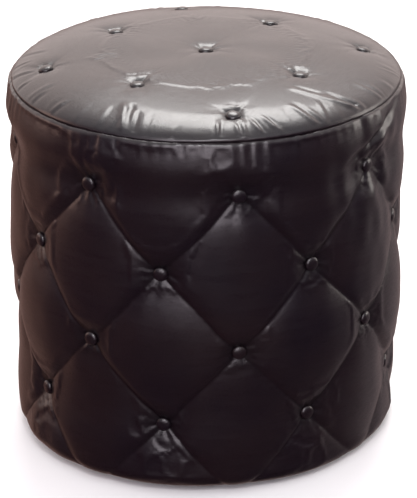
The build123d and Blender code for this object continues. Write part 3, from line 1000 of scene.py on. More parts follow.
@dataclass
class DrumSkin:
    """The drum's padded leather: rolled over the rim, buttoned in diamonds, turned under the foot."""

    sizes: Dimensions
    pattern: SidePattern
    columns: int = 704
    wall_spacing: float = 1.95 * MM
    rim_roll: float = 2.4 * MM
    foot_roll: float = 20.0 * MM
    hoop_radius: float = 181.8 * MM
    turn_down: float = 22.0 * MM
    turn_under: float = 190.0 * MM
    shell_radius: float = 206.2 * MM
    backing: float = 16.2 * MM            # the skin's back, drawn in from its face
    coarse: int = 2                       # the cloth's grid has one point in this many each way
    waves: float = 0.9 * MM
    right_hollow: Swell = Swell(-3.0 * MM, math.radians(88.0), 0.42, 0.50, 0.22)
    right_foot: Swell = Swell(-4.0 * MM, math.radians(66.0), 0.60, 0.08, 0.14)
    front_foot: Swell = Swell(-2.5 * MM, math.radians(30.0), 0.40, 0.0, 0.10)
    left_foot: Swell = Swell(8.0 * MM, math.radians(-50.0), 0.62, 0.04, 0.13)
    wall_swell: float = 5.2 * MM          # the stuffed wall above the foot
    waist_swell: float = 2.4 * MM         # a little more in its lower half
    turn_in: float = 7.6 * MM             # the wall draws back in under the rim

    def face(self) -> Outline:
        """Outline of the leather's face, from inside the hoop over the rim to under the foot."""
        s, roll, foot = self.sizes, self.rim_roll, self.foot_roll
        inner = 2.0 * MM
        maker = OutlineMaker(self.hoop_radius, s.rim - self.turn_down)
        maker.line(self.hoop_radius, s.rim - inner, 2.5 * MM)
        maker.arc((self.hoop_radius + inner, s.rim - inner), inner, math.pi, math.pi / 2, 1.0 * MM)
        maker.line(s.radius - roll, s.rim, FLAT_SPACING)
        maker.arc((s.radius - roll, s.rim - roll), roll, math.pi / 2, 0.0, EDGE_SPACING)
        maker.line(s.radius, s.underside + foot, self.wall_spacing)
        maker.arc((s.radius - foot, s.underside + foot), foot, 0.0, -math.pi / 2, 2.0 * MM)
        maker.line(self.turn_under, s.underside, FLAT_SPACING)
        return maker.done()

    def back(self) -> Outline:
        """Outline of the hidden back, which closes the skin, from under the foot to inside the hoop."""
        s, step = self.sizes, BACK_SPACING
        maker = OutlineMaker(self.turn_under, s.underside + LEATHER)
        maker.line(self.shell_radius, s.underside + LEATHER, step)
        maker.line(s.radius - self.backing, s.underside + self.foot_roll, step)
        maker.line(s.radius - self.backing, s.rim - 8.0 * MM, step)
        maker.line(self.shell_radius, s.rim - LEATHER, step)
        maker.line(self.hoop_radius + LEATHER, s.rim - LEATHER, step)
        maker.line(self.hoop_radius + LEATHER, s.rim - self.turn_down, step)
        return maker.done()

    def lean(self, azimuth: Field, height: Field) -> Field:
        """The drum's own unevenness: soft waves, a fuller foot on the left and a drawn-in right side."""
        level = (height - self.sizes.underside) / (self.sizes.rim - self.sizes.underside)
        held = smooth_step(level, -0.01, 0.05) * (1.0 - smooth_step(level, 0.90, 1.0))
        waves = self.waves * Ripples(5, 7, 2, 7, 14.0).at(azimuth, height)
        foot = self.right_foot.at(azimuth, level) + self.front_foot.at(azimuth, level)
        uneven = waves + self.right_hollow.at(azimuth, level) + foot
        return uneven * held + self.left_foot.at(azimuth, level) + self.belly(height)

    def belly(self, height: Field) -> Field:
        """How far the stuffed wall swells between the foot and the rim."""
        low, full, start, waist = 95.0 * MM, 165.0 * MM, 378.0 * MM, 205.0 * MM
        share = np.clip((height - start) / (self.sizes.rim + 1.0 * MM - start), 0.0, 1.0)
        turned_in = 1.0 - np.sqrt(1.0 - share * share)
        grown = smooth_step(height, low, full)
        middle = bell(height - waist, 42.0 * MM)
        return self.wall_swell * grown - self.turn_in * turned_in + self.waist_swell * middle

    def crumple(self, azimuth: Field, height: Field) -> Field:
        """Crumpled leather round the right-hand button of the top row."""
        s = self.sizes
        spot = self.pattern.first_column + 2.0 * self.pattern.half_column()
        across = wrapped(azimuth - spot) * s.radius
        up = height - s.rows[0]
        fold_height, tuck_depth, flap_height = 1.5 * MM, 5.5 * MM, 5.0 * MM
        near = bell(np.hypot(across, up / 1.4), 58.0 * MM)
        folds = Ripples(23, 12, 18, 60, 90.0).at(azimuth, height)
        slant = up - 0.45 * across - 30.0 * MM
        tuck = bell(slant, 6.0 * MM) * bell(across - 8.0 * MM, 42.0 * MM)
        rising = np.clip(-slant / (60.0 * MM), 0.0, 1.0)
        flap = rising * bell(across + 4.0 * MM, 30.0 * MM) * bell(up, 70.0 * MM)
        return fold_height * near * folds - tuck_depth * tuck + flap_height * flap

    def build(self) -> Piece:
        """Makes the skin.

        Returns:
            The closed mesh piece, with its pull attribute.
        """
        face, back = self.face(), self.back()
        out_r, out_z = face.facing()
        azimuth = ring(self.columns)
        height = face.height[:, None] + 0.0 * azimuth
        wall = smooth_step(face.radius, self.sizes.radius - 0.9 * self.rim_roll, self.sizes.radius - 0.2 * MM)
        low = (face.height < self.sizes.underside + self.foot_roll) & (face.radius > self.turn_under)
        foot = smooth_step(face.radius, self.sizes.radius - self.foot_roll, self.sizes.radius)
        weight = np.where(low, foot, wall)[:, None]
        depth, pull = self.pattern.depth(azimuth, height)
        gathers = 0.22 * MM * Ripples(31, 10, 50, 120, 0.0).at(azimuth, height)
        on_rim = bell(face.travelled()[:, None] - self.rim_middle(face), 16.0 * MM)
        moved = (self.crumple(azimuth, height) - depth) * weight + gathers * on_rim * wall[:, None]
        radius = self.sizes.radius
        loose = smooth_step(face.radius, radius - 1.2 * self.foot_roll, radius - 5.0 * MM)
        lean = self.lean(azimuth, height) * np.where(low, loose, wall)[:, None]
        moved = moved + self.settled(face, moved, lean, pull, weight)
        radius = face.radius[:, None] + moved * out_r[:, None] + lean
        level = face.height[:, None] + moved * out_z[:, None]
        front = revolve(radius, level, azimuth)
        behind = revolve(back.radius[:, None], back.height[:, None], azimuth)
        grid = np.concatenate([front, behind])
        faces = grid_faces(len(grid), self.columns, Ends.LOOP)
        piece = mesh_object("drum_leather", grid.reshape(-1, 3), faces)
        strength = np.concatenate([pull * weight, np.zeros(behind.shape[:2])])
        give_attribute(piece, "pull", strength)
        return piece

    def rim_middle(self, face: Outline) -> float:
        """Distance along the face at which the rim's roll starts down the wall."""
        return float(face.travelled()[int(np.argmax(face.radius >= self.sizes.radius - 0.3 * MM))])

    def settled(self, face: Outline, moved: Field, lean: Field, pull: Field, weight: Field) -> Field:
        """Outward movement of the leather after the cloth simulation, held at its folds and edges."""
        firm = np.maximum(1.0 - weight, smooth_step(pull, 0.28, 0.7))
        return relaxed(ClothRun(), face, moved, lean, firm, (self.coarse, self.coarse)) * weight


# ---------------------------------------------------------------- the lid's leather
@dataclass(frozen=True)
class Fold:
    """One fold of the lid's leather: a ridge with a valley on one side of it."""

    azimuth: float
    start: float
    end: float
    bend: float
    width: float
    height: float


@dataclass(frozen=True)
class LidPattern:
    """The lid's nine buttons and the creases and folds that run from them."""

    sizes: Dimensions
    turn: float = math.radians(9.05)
    step: float = 132.4 * MM
    seat_inner: float = 5.9 * MM
    seat_outer: float = 5.5 * MM
    dimple_reach: float = 7.5 * MM
    crease_depth: float = 1.9 * MM
    pucker_depth: float = 0.6 * MM
    puckers: int = 54                     # small folds round the edge

    def places(self) -> list:
        """East, north and seat depth of every button."""
        found = [(0.0, 0.0, self.seat_inner)]
        inner = (self.step, 45.0, self.seat_inner)
        outer = (self.step * math.sqrt(2.0), 0.0, self.seat_outer)
        for reach, start, depth in (inner, outer):
            for number in range(4):
                angle = self.turn + math.radians(start + 90.0 * number)
                found.append((reach * math.sin(angle), -reach * math.cos(angle), depth))
        return found

    def folds(self) -> list:
        """The larger folds, then the small puckers at the edge, the same on every run."""
        # degrees round the lid, start and end of the fold from the middle, how far it leans, width, height
        larger = (
            (-30.0, 176.0, 222.0, 0.10, 5.0, 1.7),
            (-25.0, 186.0, 222.0, 0.06, 3.6, 1.1),
            (36.0, 150.0, 216.0, 0.16, 5.0, 1.3),
            (29.0, 182.0, 222.0, 0.08, 4.0, 1.2),
            (44.0, 176.0, 222.0, 0.10, 4.0, 0.9),
            (4.0, 196.0, 222.0, -0.03, 2.4, 1.3),
            (8.5, 198.0, 222.0, 0.03, 2.2, 1.2),
            (13.5, 196.0, 221.0, 0.07, 2.6, 1.3),
            (17.5, 194.0, 218.0, 0.09, 2.6, 1.1),
        )
        found = []
        for degrees, start, end, bend, width, height in larger:
            found.append(Fold(math.radians(degrees), start * MM, end * MM, bend, width * MM, height * MM))
        draw = np.random.default_rng(7)
        for number in range(self.puckers):
            spot = TURN * (number + draw.uniform(-0.45, 0.45)) / self.puckers
            start = draw.uniform(184.0, 208.0) * MM
            found.append(Fold(spot, start, 224.0 * MM, draw.uniform(-0.08, 0.08), draw.uniform(2.2, 4.5) * MM,
                              draw.uniform(0.15, 0.75) * MM))
        return found

    def depth(self, east: Field, north: Field, radius: Field, azimuth: Field) -> tuple[Field, Field]:
        """How far the leather is drawn down, and how strongly it is gathered, 0 to 1."""
        depth = np.zeros(np.broadcast(east, north).shape)
        pull = np.zeros_like(depth)
        diagonals = [self.turn + math.radians(45.0 + 90.0 * number) for number in range(4)]
        for number, (spot_east, spot_north, seat) in enumerate(self.places()):
            across, along = east - spot_east, north - spot_north
            near = np.hypot(across, along)
            around = np.arctan2(along, across)
            dimple = falloff(np.maximum(near - CAP_RADIUS * 0.7, 0.0), self.dimple_reach)
            depth += seat * dimple
            pull = np.maximum(pull, dimple)
            ring = smooth_step(near, 7.0 * MM, 12.0 * MM) * falloff(near, 16.0 * MM)
            small = np.cos(6.0 * around + 1.7 * number) + 0.6 * np.cos(9.0 * around + number)
            depth += self.pucker_depth * ring * small
            for way in diagonals:
                forward = across * math.sin(way) - along * math.cos(way)
                aside = across * math.cos(way) + along * math.sin(way)
                away = np.maximum(forward, 0.0)
                reach = smooth_step(forward, 4.0 * MM, 12.0 * MM) * np.exp(-away / (17.0 * MM))
                crease = falloff(aside, 2.0 * MM + 0.07 * away)
                depth += self.crease_depth * reach * crease
                pull = np.maximum(pull, 0.6 * reach * crease)
        for fold in self.folds():
            share = smooth_step(radius, fold.start, fold.start + 14.0 * MM)
            share = share * (1.0 - smooth_step(radius, fold.end, fold.end + 3.0 * MM))
            lean = fold.azimuth + fold.bend * (radius - fold.start) / (50.0 * MM)
            aside = wrapped(azimuth - lean) * radius
            ridge = bell(aside, fold.width) - 0.8 * bell(aside - 1.7 * fold.width, 0.8 * fold.width)
            depth -= fold.height * share * ridge
        return depth, np.clip(pull, 0.0, 1.0)


@dataclass
class LidSkin:
    """The lid's padded leather: a shallow crown over a rolled edge, turned under the board."""

    sizes: Dimensions
    pattern: LidPattern
    columns: int = 640
    spacing: float = 2.0 * MM
    widest: float = 439.6 * MM
    overhang: float = 1.6 * MM
    turn_under: float = 168.0 * MM
    board_radius: float = 212.4 * MM
    backing: float = 9.6 * MM
    crown_power: float = 3.0
    rise_power: float = 1.7
    coarse: int = 2

    def crown(self, inset: float, points: int) -> Outline:
        """Superellipse from the top of the crown to the widest line, drawn in by an inset."""
        reach = self.sizes.lid_radius - inset
        rise = self.sizes.lid_top - self.widest - max(inset, 0.0)
        angle = np.linspace(math.pi / 2, 0.0, 4000)
        radius = reach * np.cos(angle) ** (2.0 / self.crown_power)
        height = self.widest + rise * np.sin(angle) ** (2.0 / self.rise_power)
        walked = Outline(radius, height).travelled()
        even = np.linspace(0.0, walked[-1], points)
        return Outline(np.interp(even, walked, radius), np.interp(even, walked, height))

    def face(self) -> Outline:
        """Outline of the leather's face, from the middle of the crown to under the board."""
        count = round((self.sizes.lid_radius + self.sizes.lid_top - self.widest) / self.spacing)
        top = self.crown(-self.overhang, count)
        roll = self.widest - self.sizes.lid_bottom
        reach = self.sizes.lid_radius + self.overhang
        maker = OutlineMaker(reach, self.widest)
        maker.arc((reach - roll, self.widest), roll, 0.0, -math.pi / 2, EDGE_SPACING)
        maker.line(self.turn_under, self.sizes.lid_bottom, FLAT_SPACING)
        edge = maker.done()
        return Outline(np.concatenate([top.radius[1:], edge.radius[1:]]),
                       np.concatenate([top.height[1:], edge.height[1:]]))

    def back(self) -> Outline:
        """Outline of the hidden back, from under the board to the middle."""
        maker = OutlineMaker(self.turn_under, self.sizes.lid_bottom + LEATHER)
        maker.line(self.board_radius, self.sizes.lid_bottom + LEATHER, BACK_SPACING)
        skirt = maker.done()
        dome = self.crown(self.backing, 26)
        return Outline(np.concatenate([skirt.radius, dome.radius[:0:-1]]),
                       np.concatenate([skirt.height, dome.height[:0:-1]]))

    def build(self) -> Piece:
        """Makes the skin.

        Returns:
            The closed mesh piece, with its pull attribute.
        """
        face, back = self.face(), self.back()
        out_r, out_z = face.facing()
        azimuth = ring(self.columns)
        radius = face.radius[:, None] + 0.0 * azimuth
        depth, pull = self.pattern.depth(radius * np.sin(azimuth), -radius * np.cos(azimuth), radius, azimuth)
        roll = self.widest - self.sizes.lid_bottom
        bottom = self.sizes.lid_bottom
        free = smooth_step(face.height, bottom + 0.5 * MM, bottom + roll)[:, None]
        swell = 0.9 * MM * Ripples(41, 8, 1, 6, 30.0).at(azimuth, radius) * smooth_step(radius, 0.02, 0.08)
        moved = (swell - depth) * free
        moved = moved + self.settled(face, moved, pull, free)
        grid_r = face.radius[:, None] + moved * out_r[:, None]
        grid_z = face.height[:, None] + moved * out_z[:, None]
        front = revolve(grid_r, grid_z, azimuth)
        behind = revolve(back.radius[:, None], back.height[:, None], azimuth)
        grid = np.concatenate([front, behind])
        poles = np.array([[0.0, 0.0, front[0, :, 2].mean()], [0.0, 0.0, back.height[-1]]])
        points = np.concatenate([grid.reshape(-1, 3), poles])
        piece = mesh_object("lid_leather", points, grid_faces(len(grid), self.columns, Ends.POLES))
        strength = np.concatenate([pull * free, np.zeros(behind.shape[:2])]).ravel()
        give_attribute(piece, "pull", np.concatenate([strength, [1.0, 0.0]]))
        return piece

    def settled(self, face: Outline, moved: Field, pull: Field, free: Field) -> Field:
        """Outward movement of the leather after the cloth simulation, held near the middle as well."""
        middle, open_from = 50.0 * MM, 150.0 * MM
        firm = np.maximum(1.0 - free, smooth_step(pull, 0.15, 0.45))
        firm = np.maximum(firm, 1.0 - smooth_step(face.radius[:, None], middle, open_from))
        run = ClothRun(growth=0.006, cap=0.6 * MM)
        steps = (self.coarse, self.coarse * 2)
        return relaxed(run, face, moved, np.zeros_like(moved), firm, steps) * free


# ---------------------------------------------------------------- covered buttons
@dataclass
class ButtonMaker:
    """Leather-covered domed buttons, set out by a node tree over their seats."""

    sizes: Dimensions
    finishes: Finishes
    dome: float = 5.4 * MM
    edge: float = 1.8 * MM
    segments: int = 40
    rings: int = 9

    def master(self) -> Piece:
        """One button facing +Z: a dome whose cover is gathered round its rim."""
        radius, bottom = CAP_RADIUS, 0.15 * MM
        spots, levels = [], []
        for ring in range(1, self.rings + 1):
            angle = (math.pi / 2) * ring / self.rings
            spots.append(radius * math.sin(angle) ** 0.85)
            levels.append(self.edge + (self.dome - self.edge) * math.cos(angle) ** 0.9)
        spots += [radius * 0.985, radius * 0.90, radius * 0.60]
        levels += [self.edge * 0.45, bottom, bottom]
        outline = Outline(np.array(spots), np.array(levels))
        piece = lathe("button_master", outline, self.segments, Ends.POLES)
        for point in piece.data.vertices:
            far = math.hypot(point.co.x, point.co.y) / radius
            gather = math.cos(13.0 * math.atan2(point.co.y, point.co.x)) * max(far - 0.55, 0.0)
            point.co.z += 0.28 * MM * gather
        top = max(p.co.z for p in piece.data.vertices)
        for point in piece.data.vertices:
            if math.hypot(point.co.x, point.co.y) < 1e-9:
                point.co.z = top if point.co.z > self.edge else bottom
        # a little pull, so the buttons also take a slight darkening from the leather's painted crease shade,
        # as well as its crinkle
        give_attribute(piece, "pull", np.full(len(piece.data.vertices), 0.25))
        return piece

    def tree(self, master: Piece, material: bpy.types.Material) -> tuple:
        """Node tree that puts a button at each seat, facing along the seat's own direction.

        Args:
            master: the button.
            material: the leather.

        Returns:
            The tree and the identifiers of its named inputs.
        """
        inputs = {"Seats": GEOMETRY, "Size": FLOAT, "Size spread": FLOAT, "Seed": WHOLE}
        tree, identifiers = geometry_tree("covered_buttons", inputs, "Buttons")
        bench = Bench(tree)
        source = bench.add("NodeGroupInput").outputs
        facing = bench.add("GeometryNodeInputNamedAttribute", {"data_type": "FLOAT_VECTOR"}, Name="facing")
        aimed = bench.add("FunctionNodeAlignRotationToVector", {"axis": "Z"}, Vector=facing.outputs[0])
        low = bench.minus(source["Size"], source["Size spread"])
        high = bench.plus(source["Size"], source["Size spread"])
        varied = bench.add("FunctionNodeRandomValue", {"data_type": "FLOAT"})
        tree.links.new(low, varied.inputs[2])
        tree.links.new(high, varied.inputs[3])
        tree.links.new(source["Seed"], varied.inputs["Seed"])
        button = bench.add("GeometryNodeObjectInfo", {"transform_space": "ORIGINAL"}, Object=master)
        many = bench.scatter(source["Seats"], button.outputs["Geometry"], aimed.outputs[0], varied.outputs[1],
                             material)
        bench.add("NodeGroupOutput", None, Buttons=many)
        return tree, identifiers

    def set_out(self, name: str, seats: list, seed: int) -> Piece:
        """Makes one piece of several buttons.

        Args:
            name: the piece's name.
            seats: pairs of a place and the direction that the button faces.
            seed: for the small spread of sizes.

        Returns:
            The plain mesh piece.
        """
        master = self.master()
        tree, identifiers = self.tree(master, self.finishes.made["leather"])
        holder = bpy.data.objects.new(name + "_seats", bpy.data.meshes.new(name + "_seats"))
        holder.data.from_pydata([tuple(place) for place, _ in seats], [], [])
        layer = holder.data.attributes.new("facing", "FLOAT_VECTOR", "POINT")
        layer.data.foreach_set("vector", np.array([tuple(way) for _, way in seats], dtype=np.float32).ravel())
        bpy.context.scene.collection.objects.link(holder)
        modifier = holder.modifiers.new("buttons", "NODES")
        modifier.node_group = tree
        modifier[identifiers["Size"]] = 1.0
        modifier[identifiers["Size spread"]] = 0.02
        modifier[identifiers["Seed"]] = seed
        return plain_copy(holder, name, [holder, master])


def plain_copy(holder: Piece, name: str, spent: list) -> Piece:
    """Turns a holder's evaluated shape into a plain mesh piece and removes what made it."""
    bpy.context.view_layer.update()
    shown = holder.evaluated_get(bpy.context.evaluated_depsgraph_get())
    mesh = bpy.data.meshes.new_from_object(shown)
    mesh.name = name
    mesh.polygons.foreach_set("use_smooth", [True] * len(mesh.polygons))
    piece = bpy.data.objects.new(name, mesh)
    bpy.context.scene.collection.objects.link(piece)
    for old in spent:
        bpy.data.objects.remove(old)
    return piece


# ---------------------------------------------------------------- stitches
@dataclass
class Stitching:
    """Rows of stitches along a line, set out by a node tree."""

    finishes: Finishes
    length: float = 4.2 * MM
    pitch: float = 5.6 * MM
    thread: float = 0.42 * MM

    def sew(self, name: str, route: Field, closed: bool) -> Piece:
        """Makes the stitches.

        Args:
            name: the piece's name.
            route: places along the seam.
            closed: whether the seam runs back to its start.

        Returns:
            The plain mesh piece.
        """
        count = len(route)
        edges = [(number, (number + 1) % count) for number in range(count if closed else count - 1)]
        holder = bpy.data.objects.new(name + "_route", bpy.data.meshes.new(name + "_route"))
        holder.data.from_pydata(route.tolist(), edges, [])
        bpy.context.scene.collection.objects.link(holder)
        inputs = {"Route": GEOMETRY, "Pitch": FLOAT, "Length": FLOAT, "Thread radius": FLOAT}
        tree, identifiers = geometry_tree("stitch_row", inputs, "Stitches")
        bench = Bench(tree)
        source = bench.add("NodeGroupInput").outputs
        line = bench.add("GeometryNodeMeshToCurve", None, Mesh=source["Route"])
        spaced = bench.add("GeometryNodeCurveToPoints", {"mode": "LENGTH"}, Curve=line.outputs[0],
                           Length=source["Pitch"])
        ball = bench.add("GeometryNodeMeshUVSphere", None, Segments=8, Rings=6, Radius=1.0)
        size = bench.add("ShaderNodeCombineXYZ", None, X=source["Thread radius"], Y=source["Thread radius"],
                         Z=bench.times(source["Length"], 0.5))
        tangent = spaced.outputs["Tangent"]
        aimed = bench.add("FunctionNodeAlignRotationToVector", {"axis": "Z"}, Vector=tangent)
        many = bench.scatter(spaced.outputs["Points"], ball.outputs[0], aimed.outputs[0], size.outputs[0],
                             self.finishes.made["thread"])
        bench.add("NodeGroupOutput", None, Stitches=many)
        modifier = holder.modifiers.new("stitches", "NODES")
        modifier.node_group = tree
        for label, value in (("Pitch", self.pitch), ("Length", self.length), ("Thread radius", self.thread)):
            modifier[identifiers[label]] = value
        return plain_copy(holder, name, [holder])


# ---------------------------------------------------------------- sub-assemblies
class Body(Enum):
    """The frame's rigid bodies."""

    DRUM = "drum"
    LID = "lid"


def enter(piece: Piece, body: Body) -> None:
    """Makes a finished piece ride on its body and reports it."""
    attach(piece, body.value)
    LOG.info("%s rides on the %s: %d faces", piece.name, body.value, len(piece.data.polygons))


def enter_padded(piece: Piece, finishes: Finishes, finish: str, body: Body, node: str) -> None:
    """Dresses a padded piece, makes it ride on its body and lets it stand for a node of the frame."""
    finishes.on(piece, finish)
    enter(piece, body)
    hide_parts(node)


@dataclass
class Drum:
    """The drum: its leather, padding and buttons, over the frame's own boards, posts and liner."""

    sizes: Dimensions
    finishes: Finishes

    def build(self) -> None:
        """Makes the drum's pieces and hides the frame's nodes that they stand for."""
        pattern = SidePattern(self.sizes)
        skin_maker = DrumSkin(self.sizes, pattern)
        skin = skin_maker.build()
        enter_padded(skin, self.finishes, "leather", Body.DRUM, "side_cover")
        self.padding(skin_maker)
        seats = []
        for azimuth, height in pattern.places():
            outward = Vector((math.sin(azimuth), -math.cos(azimuth), 0.0))
            swell = float(skin_maker.lean(np.array([azimuth]), np.array([height]))[0])
            floor = self.sizes.radius - pattern.seat_depth + swell
            seats.append((outward * floor + Vector((0.0, 0.0, height)), outward))
        buttons = ButtonMaker(self.sizes, self.finishes).set_out("drum_buttons", seats, 3)
        enter(buttons, Body.DRUM)
        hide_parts("side_button_caps")
        self.seams()

    def padding(self, skin: DrumSkin) -> None:
        """Foam ring and its wadding, under the leather."""
        s = self.sizes
        shell, middle, face = 206.1 * MM, 207.6 * MM, s.radius - skin.backing - 0.2 * MM
        low, high, spacing = s.underside + 14.0 * MM, s.rim - 18.0 * MM, 20.0 * MM
        layers = (("drum_foam", "foam", shell, middle, "side_foam"),
                  ("drum_wadding", "wadding", middle + 0.1 * MM, face, "side_wadding"))
        for name, finish, inner, outer, node in layers:
            maker = OutlineMaker(inner, low)
            maker.line(outer, low, spacing).line(outer, high, spacing).line(inner, high, spacing)
            maker.line(inner, low + spacing, spacing)
            piece = lathe(name, maker.done(), PAD_COLUMNS, Ends.LOOP)
            enter_padded(piece, self.finishes, finish, Body.DRUM, node)

    def seams(self) -> None:
        """Stitches along the binding tape of the liner."""
        low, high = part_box("rim_tape")
        inward, upward, points = 3.95 * MM, 3.0 * MM, 360
        azimuth = np.arange(points) * TURN / points
        route = revolve(np.full(points, high.y - inward), np.full(points, low.z + upward), azimuth)
        row = Stitching(self.finishes).sew("tape_stitches", route, True)
        enter(row, Body.DRUM)


@dataclass
class Lid:
    """The lid: its leather, padding and buttons, over the frame's own board, lining and ring."""

    sizes: Dimensions
    finishes: Finishes
    tilt_step: float = 4.0 * MM           # run over which the crown's slope is measured

    def build(self) -> None:
        """Makes the lid's pieces."""
        pattern = LidPattern(self.sizes)
        maker = LidSkin(self.sizes, pattern)
        skin = maker.build()
        enter_padded(skin, self.finishes, "leather", Body.LID, "lid_cover")
        self.padding(maker)
        seats = []
        for east, north, depth in pattern.places():
            far = math.hypot(east, north)
            level = self.crown_level(maker, far)
            tilt = (level - self.crown_level(maker, far + self.tilt_step)) / self.tilt_step
            way = Vector((east, north, 0.0)).normalized() if far > 0 else Vector((0.0, 0.0, 0.0))
            facing = (Vector((0.0, 0.0, 1.0)) + way * tilt).normalized()
            seats.append((Vector((east, north, level - depth)), facing))
        buttons = ButtonMaker(self.sizes, self.finishes).set_out("lid_buttons", seats, 4)
        enter(buttons, Body.LID)
        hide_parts("lid_button_caps")

    @staticmethod
    def crown_level(maker: LidSkin, radius: float) -> float:
        """Height of the undimpled crown at a radius."""
        top = maker.crown(0.0, 400)
        return float(np.interp(radius, top.radius, top.height))

    def padding(self, maker: LidSkin) -> None:
        """Foam and wadding between the board and the leather."""
        board_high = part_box("lid_board")[1]
        board = board_high.y + 0.2 * MM
        layers = (("lid_foam_pad", "foam", board_high.z + 0.1 * MM, maker.backing + 3.0 * MM, "lid_foam"),
                  ("lid_wadding_pad", "wadding", None, maker.backing + 0.2 * MM, "lid_wadding"))
        for name, finish, bottom, inset, node in layers:
            dome = maker.crown(inset, 30)
            if bottom is None:
                under = maker.crown(maker.backing + 2.8 * MM, 30)
                keep = under.radius < dome.radius.max() - 4.0 * MM
                radius = np.concatenate([dome.radius[1:], under.radius[keep][:0:-1]])
                height = np.concatenate([dome.height[1:], under.height[keep][:0:-1]])
            else:
                keep = dome.radius < board - 1.0 * MM
                keep &= dome.height > bottom + 0.5 * MM
                edge = float(dome.radius[keep].max())
                radius = np.concatenate([dome.radius[keep][1:], [edge, edge * 0.5, 2.0 * MM]])
                height = np.concatenate([dome.height[keep][1:], [bottom, bottom, bottom]])
            piece = lathe(name, Outline(radius, height), PAD_COLUMNS, Ends.POLES)
            enter_padded(piece, self.finishes, finish, Body.LID, node)


def dress_nodes(finishes: Finishes) -> None:
    """Gives every shown node of the frame its finish."""
    record = frame["record"]
    slots = {part["node"]: part["material_slot"] for part in record["subparts"]}
    flat = {"lid_lining", "liner_floor"}
    for name, node in frame["nodes"].items():
        finish = slots[name]
        if name in flat:
            finish = "lining_flat"
        if name == "rim_tape":
            finish = "tape"
        finishes.on(node, finish)


# ---------------------------------------------------------------- studio
@dataclass(frozen=True)
class Panel:
    """A soft rectangular light."""

    name: str
    place: tuple
    size: tuple
    glow: float                           # brightness of its face
    tone: tuple

    def hang(self, aim: tuple) -> None:
        """Puts the light in its place, facing a point."""
        light = bpy.data.lights.new(self.name, "AREA")
        light.shape = "RECTANGLE"
        light.size, light.size_y = self.size
        light.energy = self.glow * math.pi * self.size[0] * self.size[1]
        light.color = self.tone
        lamp = bpy.data.objects.new(self.name, light)
        lamp.location = self.place
        lamp.rotation_mode = "QUATERNION"
        lamp.rotation_quaternion = (Vector(aim) - Vector(self.place)).to_track_quat("-Z", "Y")
        bpy.context.scene.collection.objects.link(lamp)


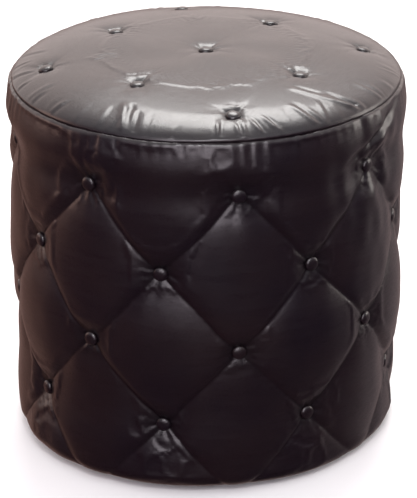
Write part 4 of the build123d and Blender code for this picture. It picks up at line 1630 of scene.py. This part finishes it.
@dataclass
class Studio:
    """Plain pale floor, soft lights and the camera."""

    sizes: Dimensions
    distance: float = 13.0                # camera to axis, in drum radii
    level: float = 6.58                   # camera height, in drum radii
    pitch: float = 0.409
    yaw: float = 0.0006
    roll: float = 0.006
    long_lens: float = 192.65             # millimetres on a 36 mm long side
    air_low_left: tuple = tint(0.060, 0.030, 0.034)
    air_low_right: tuple = tint(0.045, 0.034, 0.044)
    air_far_left: tuple = tint(0.36, 0.19, 0.15)
    air_far_right: tuple = tint(0.33, 0.27, 0.28)
    air_front: tuple = tint(0.12, 0.085, 0.12)
    air_top: tuple = tint(0.95, 0.95, 0.97)
    air_behind: tuple = tint(1.46, 1.26, 1.20)
    panels: tuple = (
        Panel("panel_above", (0.2, 1.7, 3.0), (1.6, 1.1), 13.5, (1.0, 0.98, 0.96)),
        Panel("panel_front", (-0.4, -3.6, 1.75), (2.8, 2.5), 3.9, (1.0, 0.90, 0.98)),
        Panel("panel_spark", (0.1, -2.5, 2.7), (0.9, 0.5), 24.0, (1.0, 0.98, 1.0)),
        Panel("panel_left", (-3.2, 0.3, 0.8), (1.4, 1.5), 1.9, (1.0, 0.62, 0.50)),
        Panel("panel_right", (3.0, 0.6, 0.9), (1.0, 1.7), 4.5, (1.0, 0.94, 0.88)),
    )

    def floor(self) -> None:
        """Large pale floor."""
        half = 14.0
        corners = np.array([[-half, -half, 0.0], [half, -half, 0.0], [half, half, 0.0], [-half, half, 0.0]])
        floor = mesh_object("studio_floor", corners, [(0, 1, 2, 3)])
        material, bench, shader, place = blank_material("pale_floor")
        mottled = bench.noise(place, 3.0, 2.0)
        tone = bench.blend(mottled, tint(0.90, 0.90, 0.905), tint(0.94, 0.94, 0.94))
        wire(bench, shader, {"Base Color": tone, "Roughness": 0.9})
        floor.data.materials.append(material)
        floor.visible_glossy = False

    def air(self) -> None:
        """Room light by direction: dim below and in front, brighter overhead, brightest low behind."""
        world = bpy.data.worlds.new("studio_air")
        world.use_nodes = True
        bench = Bench(world.node_tree)
        way = bench.add("ShaderNodeTexCoord").outputs["Generated"]
        axes = bench.add("ShaderNodeSeparateXYZ", None, Vector=way)
        east, north, up = axes.outputs
        sideways = bench.span(east, -0.7, 0.7, 0.0, 1.0)
        low_front = bench.blend(sideways, self.air_low_left, self.air_low_right)
        low_behind = bench.blend(sideways, self.air_far_left, self.air_far_right)
        low = bench.blend(bench.span(north, -0.15, 0.65, 0.0, 1.0), low_front, low_behind)
        front = bench.blend(bench.span(up, 0.02, 0.85, 0.0, 1.0), self.air_front, self.air_top)
        behind = bench.blend(bench.span(up, 0.50, 0.95, 0.0, 1.0), self.air_behind, self.air_top)
        around = bench.blend(bench.span(north, 0.0, 0.55, 0.0, 1.0), front, behind)
        tone = bench.blend(bench.span(up, -0.10, 0.04, 0.0, 1.0), low, around)
        background = world.node_tree.nodes["Background"]
        world.node_tree.links.new(tone, background.inputs["Color"])
        bpy.context.scene.world = world

    def lights(self) -> None:
        """The room's own light and the panels, all facing the middle of the drum."""
        self.air()
        middle = (0.0, 0.0, 0.4)
        for panel in self.panels:
            panel.hang(middle)

    def camera(self) -> None:
        """Long lens from the front and above."""
        unit = self.sizes.radius
        data = bpy.data.cameras.new("camera")
        data.sensor_width = 36.0
        data.lens = self.long_lens
        data.clip_end = 60.0
        eye = bpy.data.objects.new("camera", data)
        bpy.context.scene.collection.objects.link(eye)
        ahead = Vector((math.sin(self.yaw) * math.cos(self.pitch), math.cos(self.yaw) * math.cos(self.pitch),
                        -math.sin(self.pitch)))
        right = Vector((math.cos(self.yaw), -math.sin(self.yaw), 0.0))
        up = right.cross(ahead)
        basis = Matrix((right, up, -ahead)).transposed() @ Matrix.Rotation(-self.roll, 3, "Z")
        place = Matrix.Translation((0.0, -self.distance * unit, self.level * unit))
        eye.matrix_world = place @ basis.to_4x4()
        bpy.context.scene.camera = eye

    def build(self) -> None:
        """Sets up the whole studio."""
        self.floor()
        self.lights()
        self.camera()
        bpy.context.scene.view_settings.view_transform = "Standard"


def main() -> None:
    """Builds the ottoman and the studio."""
    logging.basicConfig(level=logging.INFO, format="%(name)s: %(message)s")
    sizes = Dimensions.read()
    finishes = Finishes(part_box("liner_wall")[1].y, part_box("drum_shell")[1].y)
    Studio(sizes).build()
    dress_nodes(finishes)
    Drum(sizes, finishes).build()
    Lid(sizes, finishes).build()


if __name__ == "__main__":
    main()
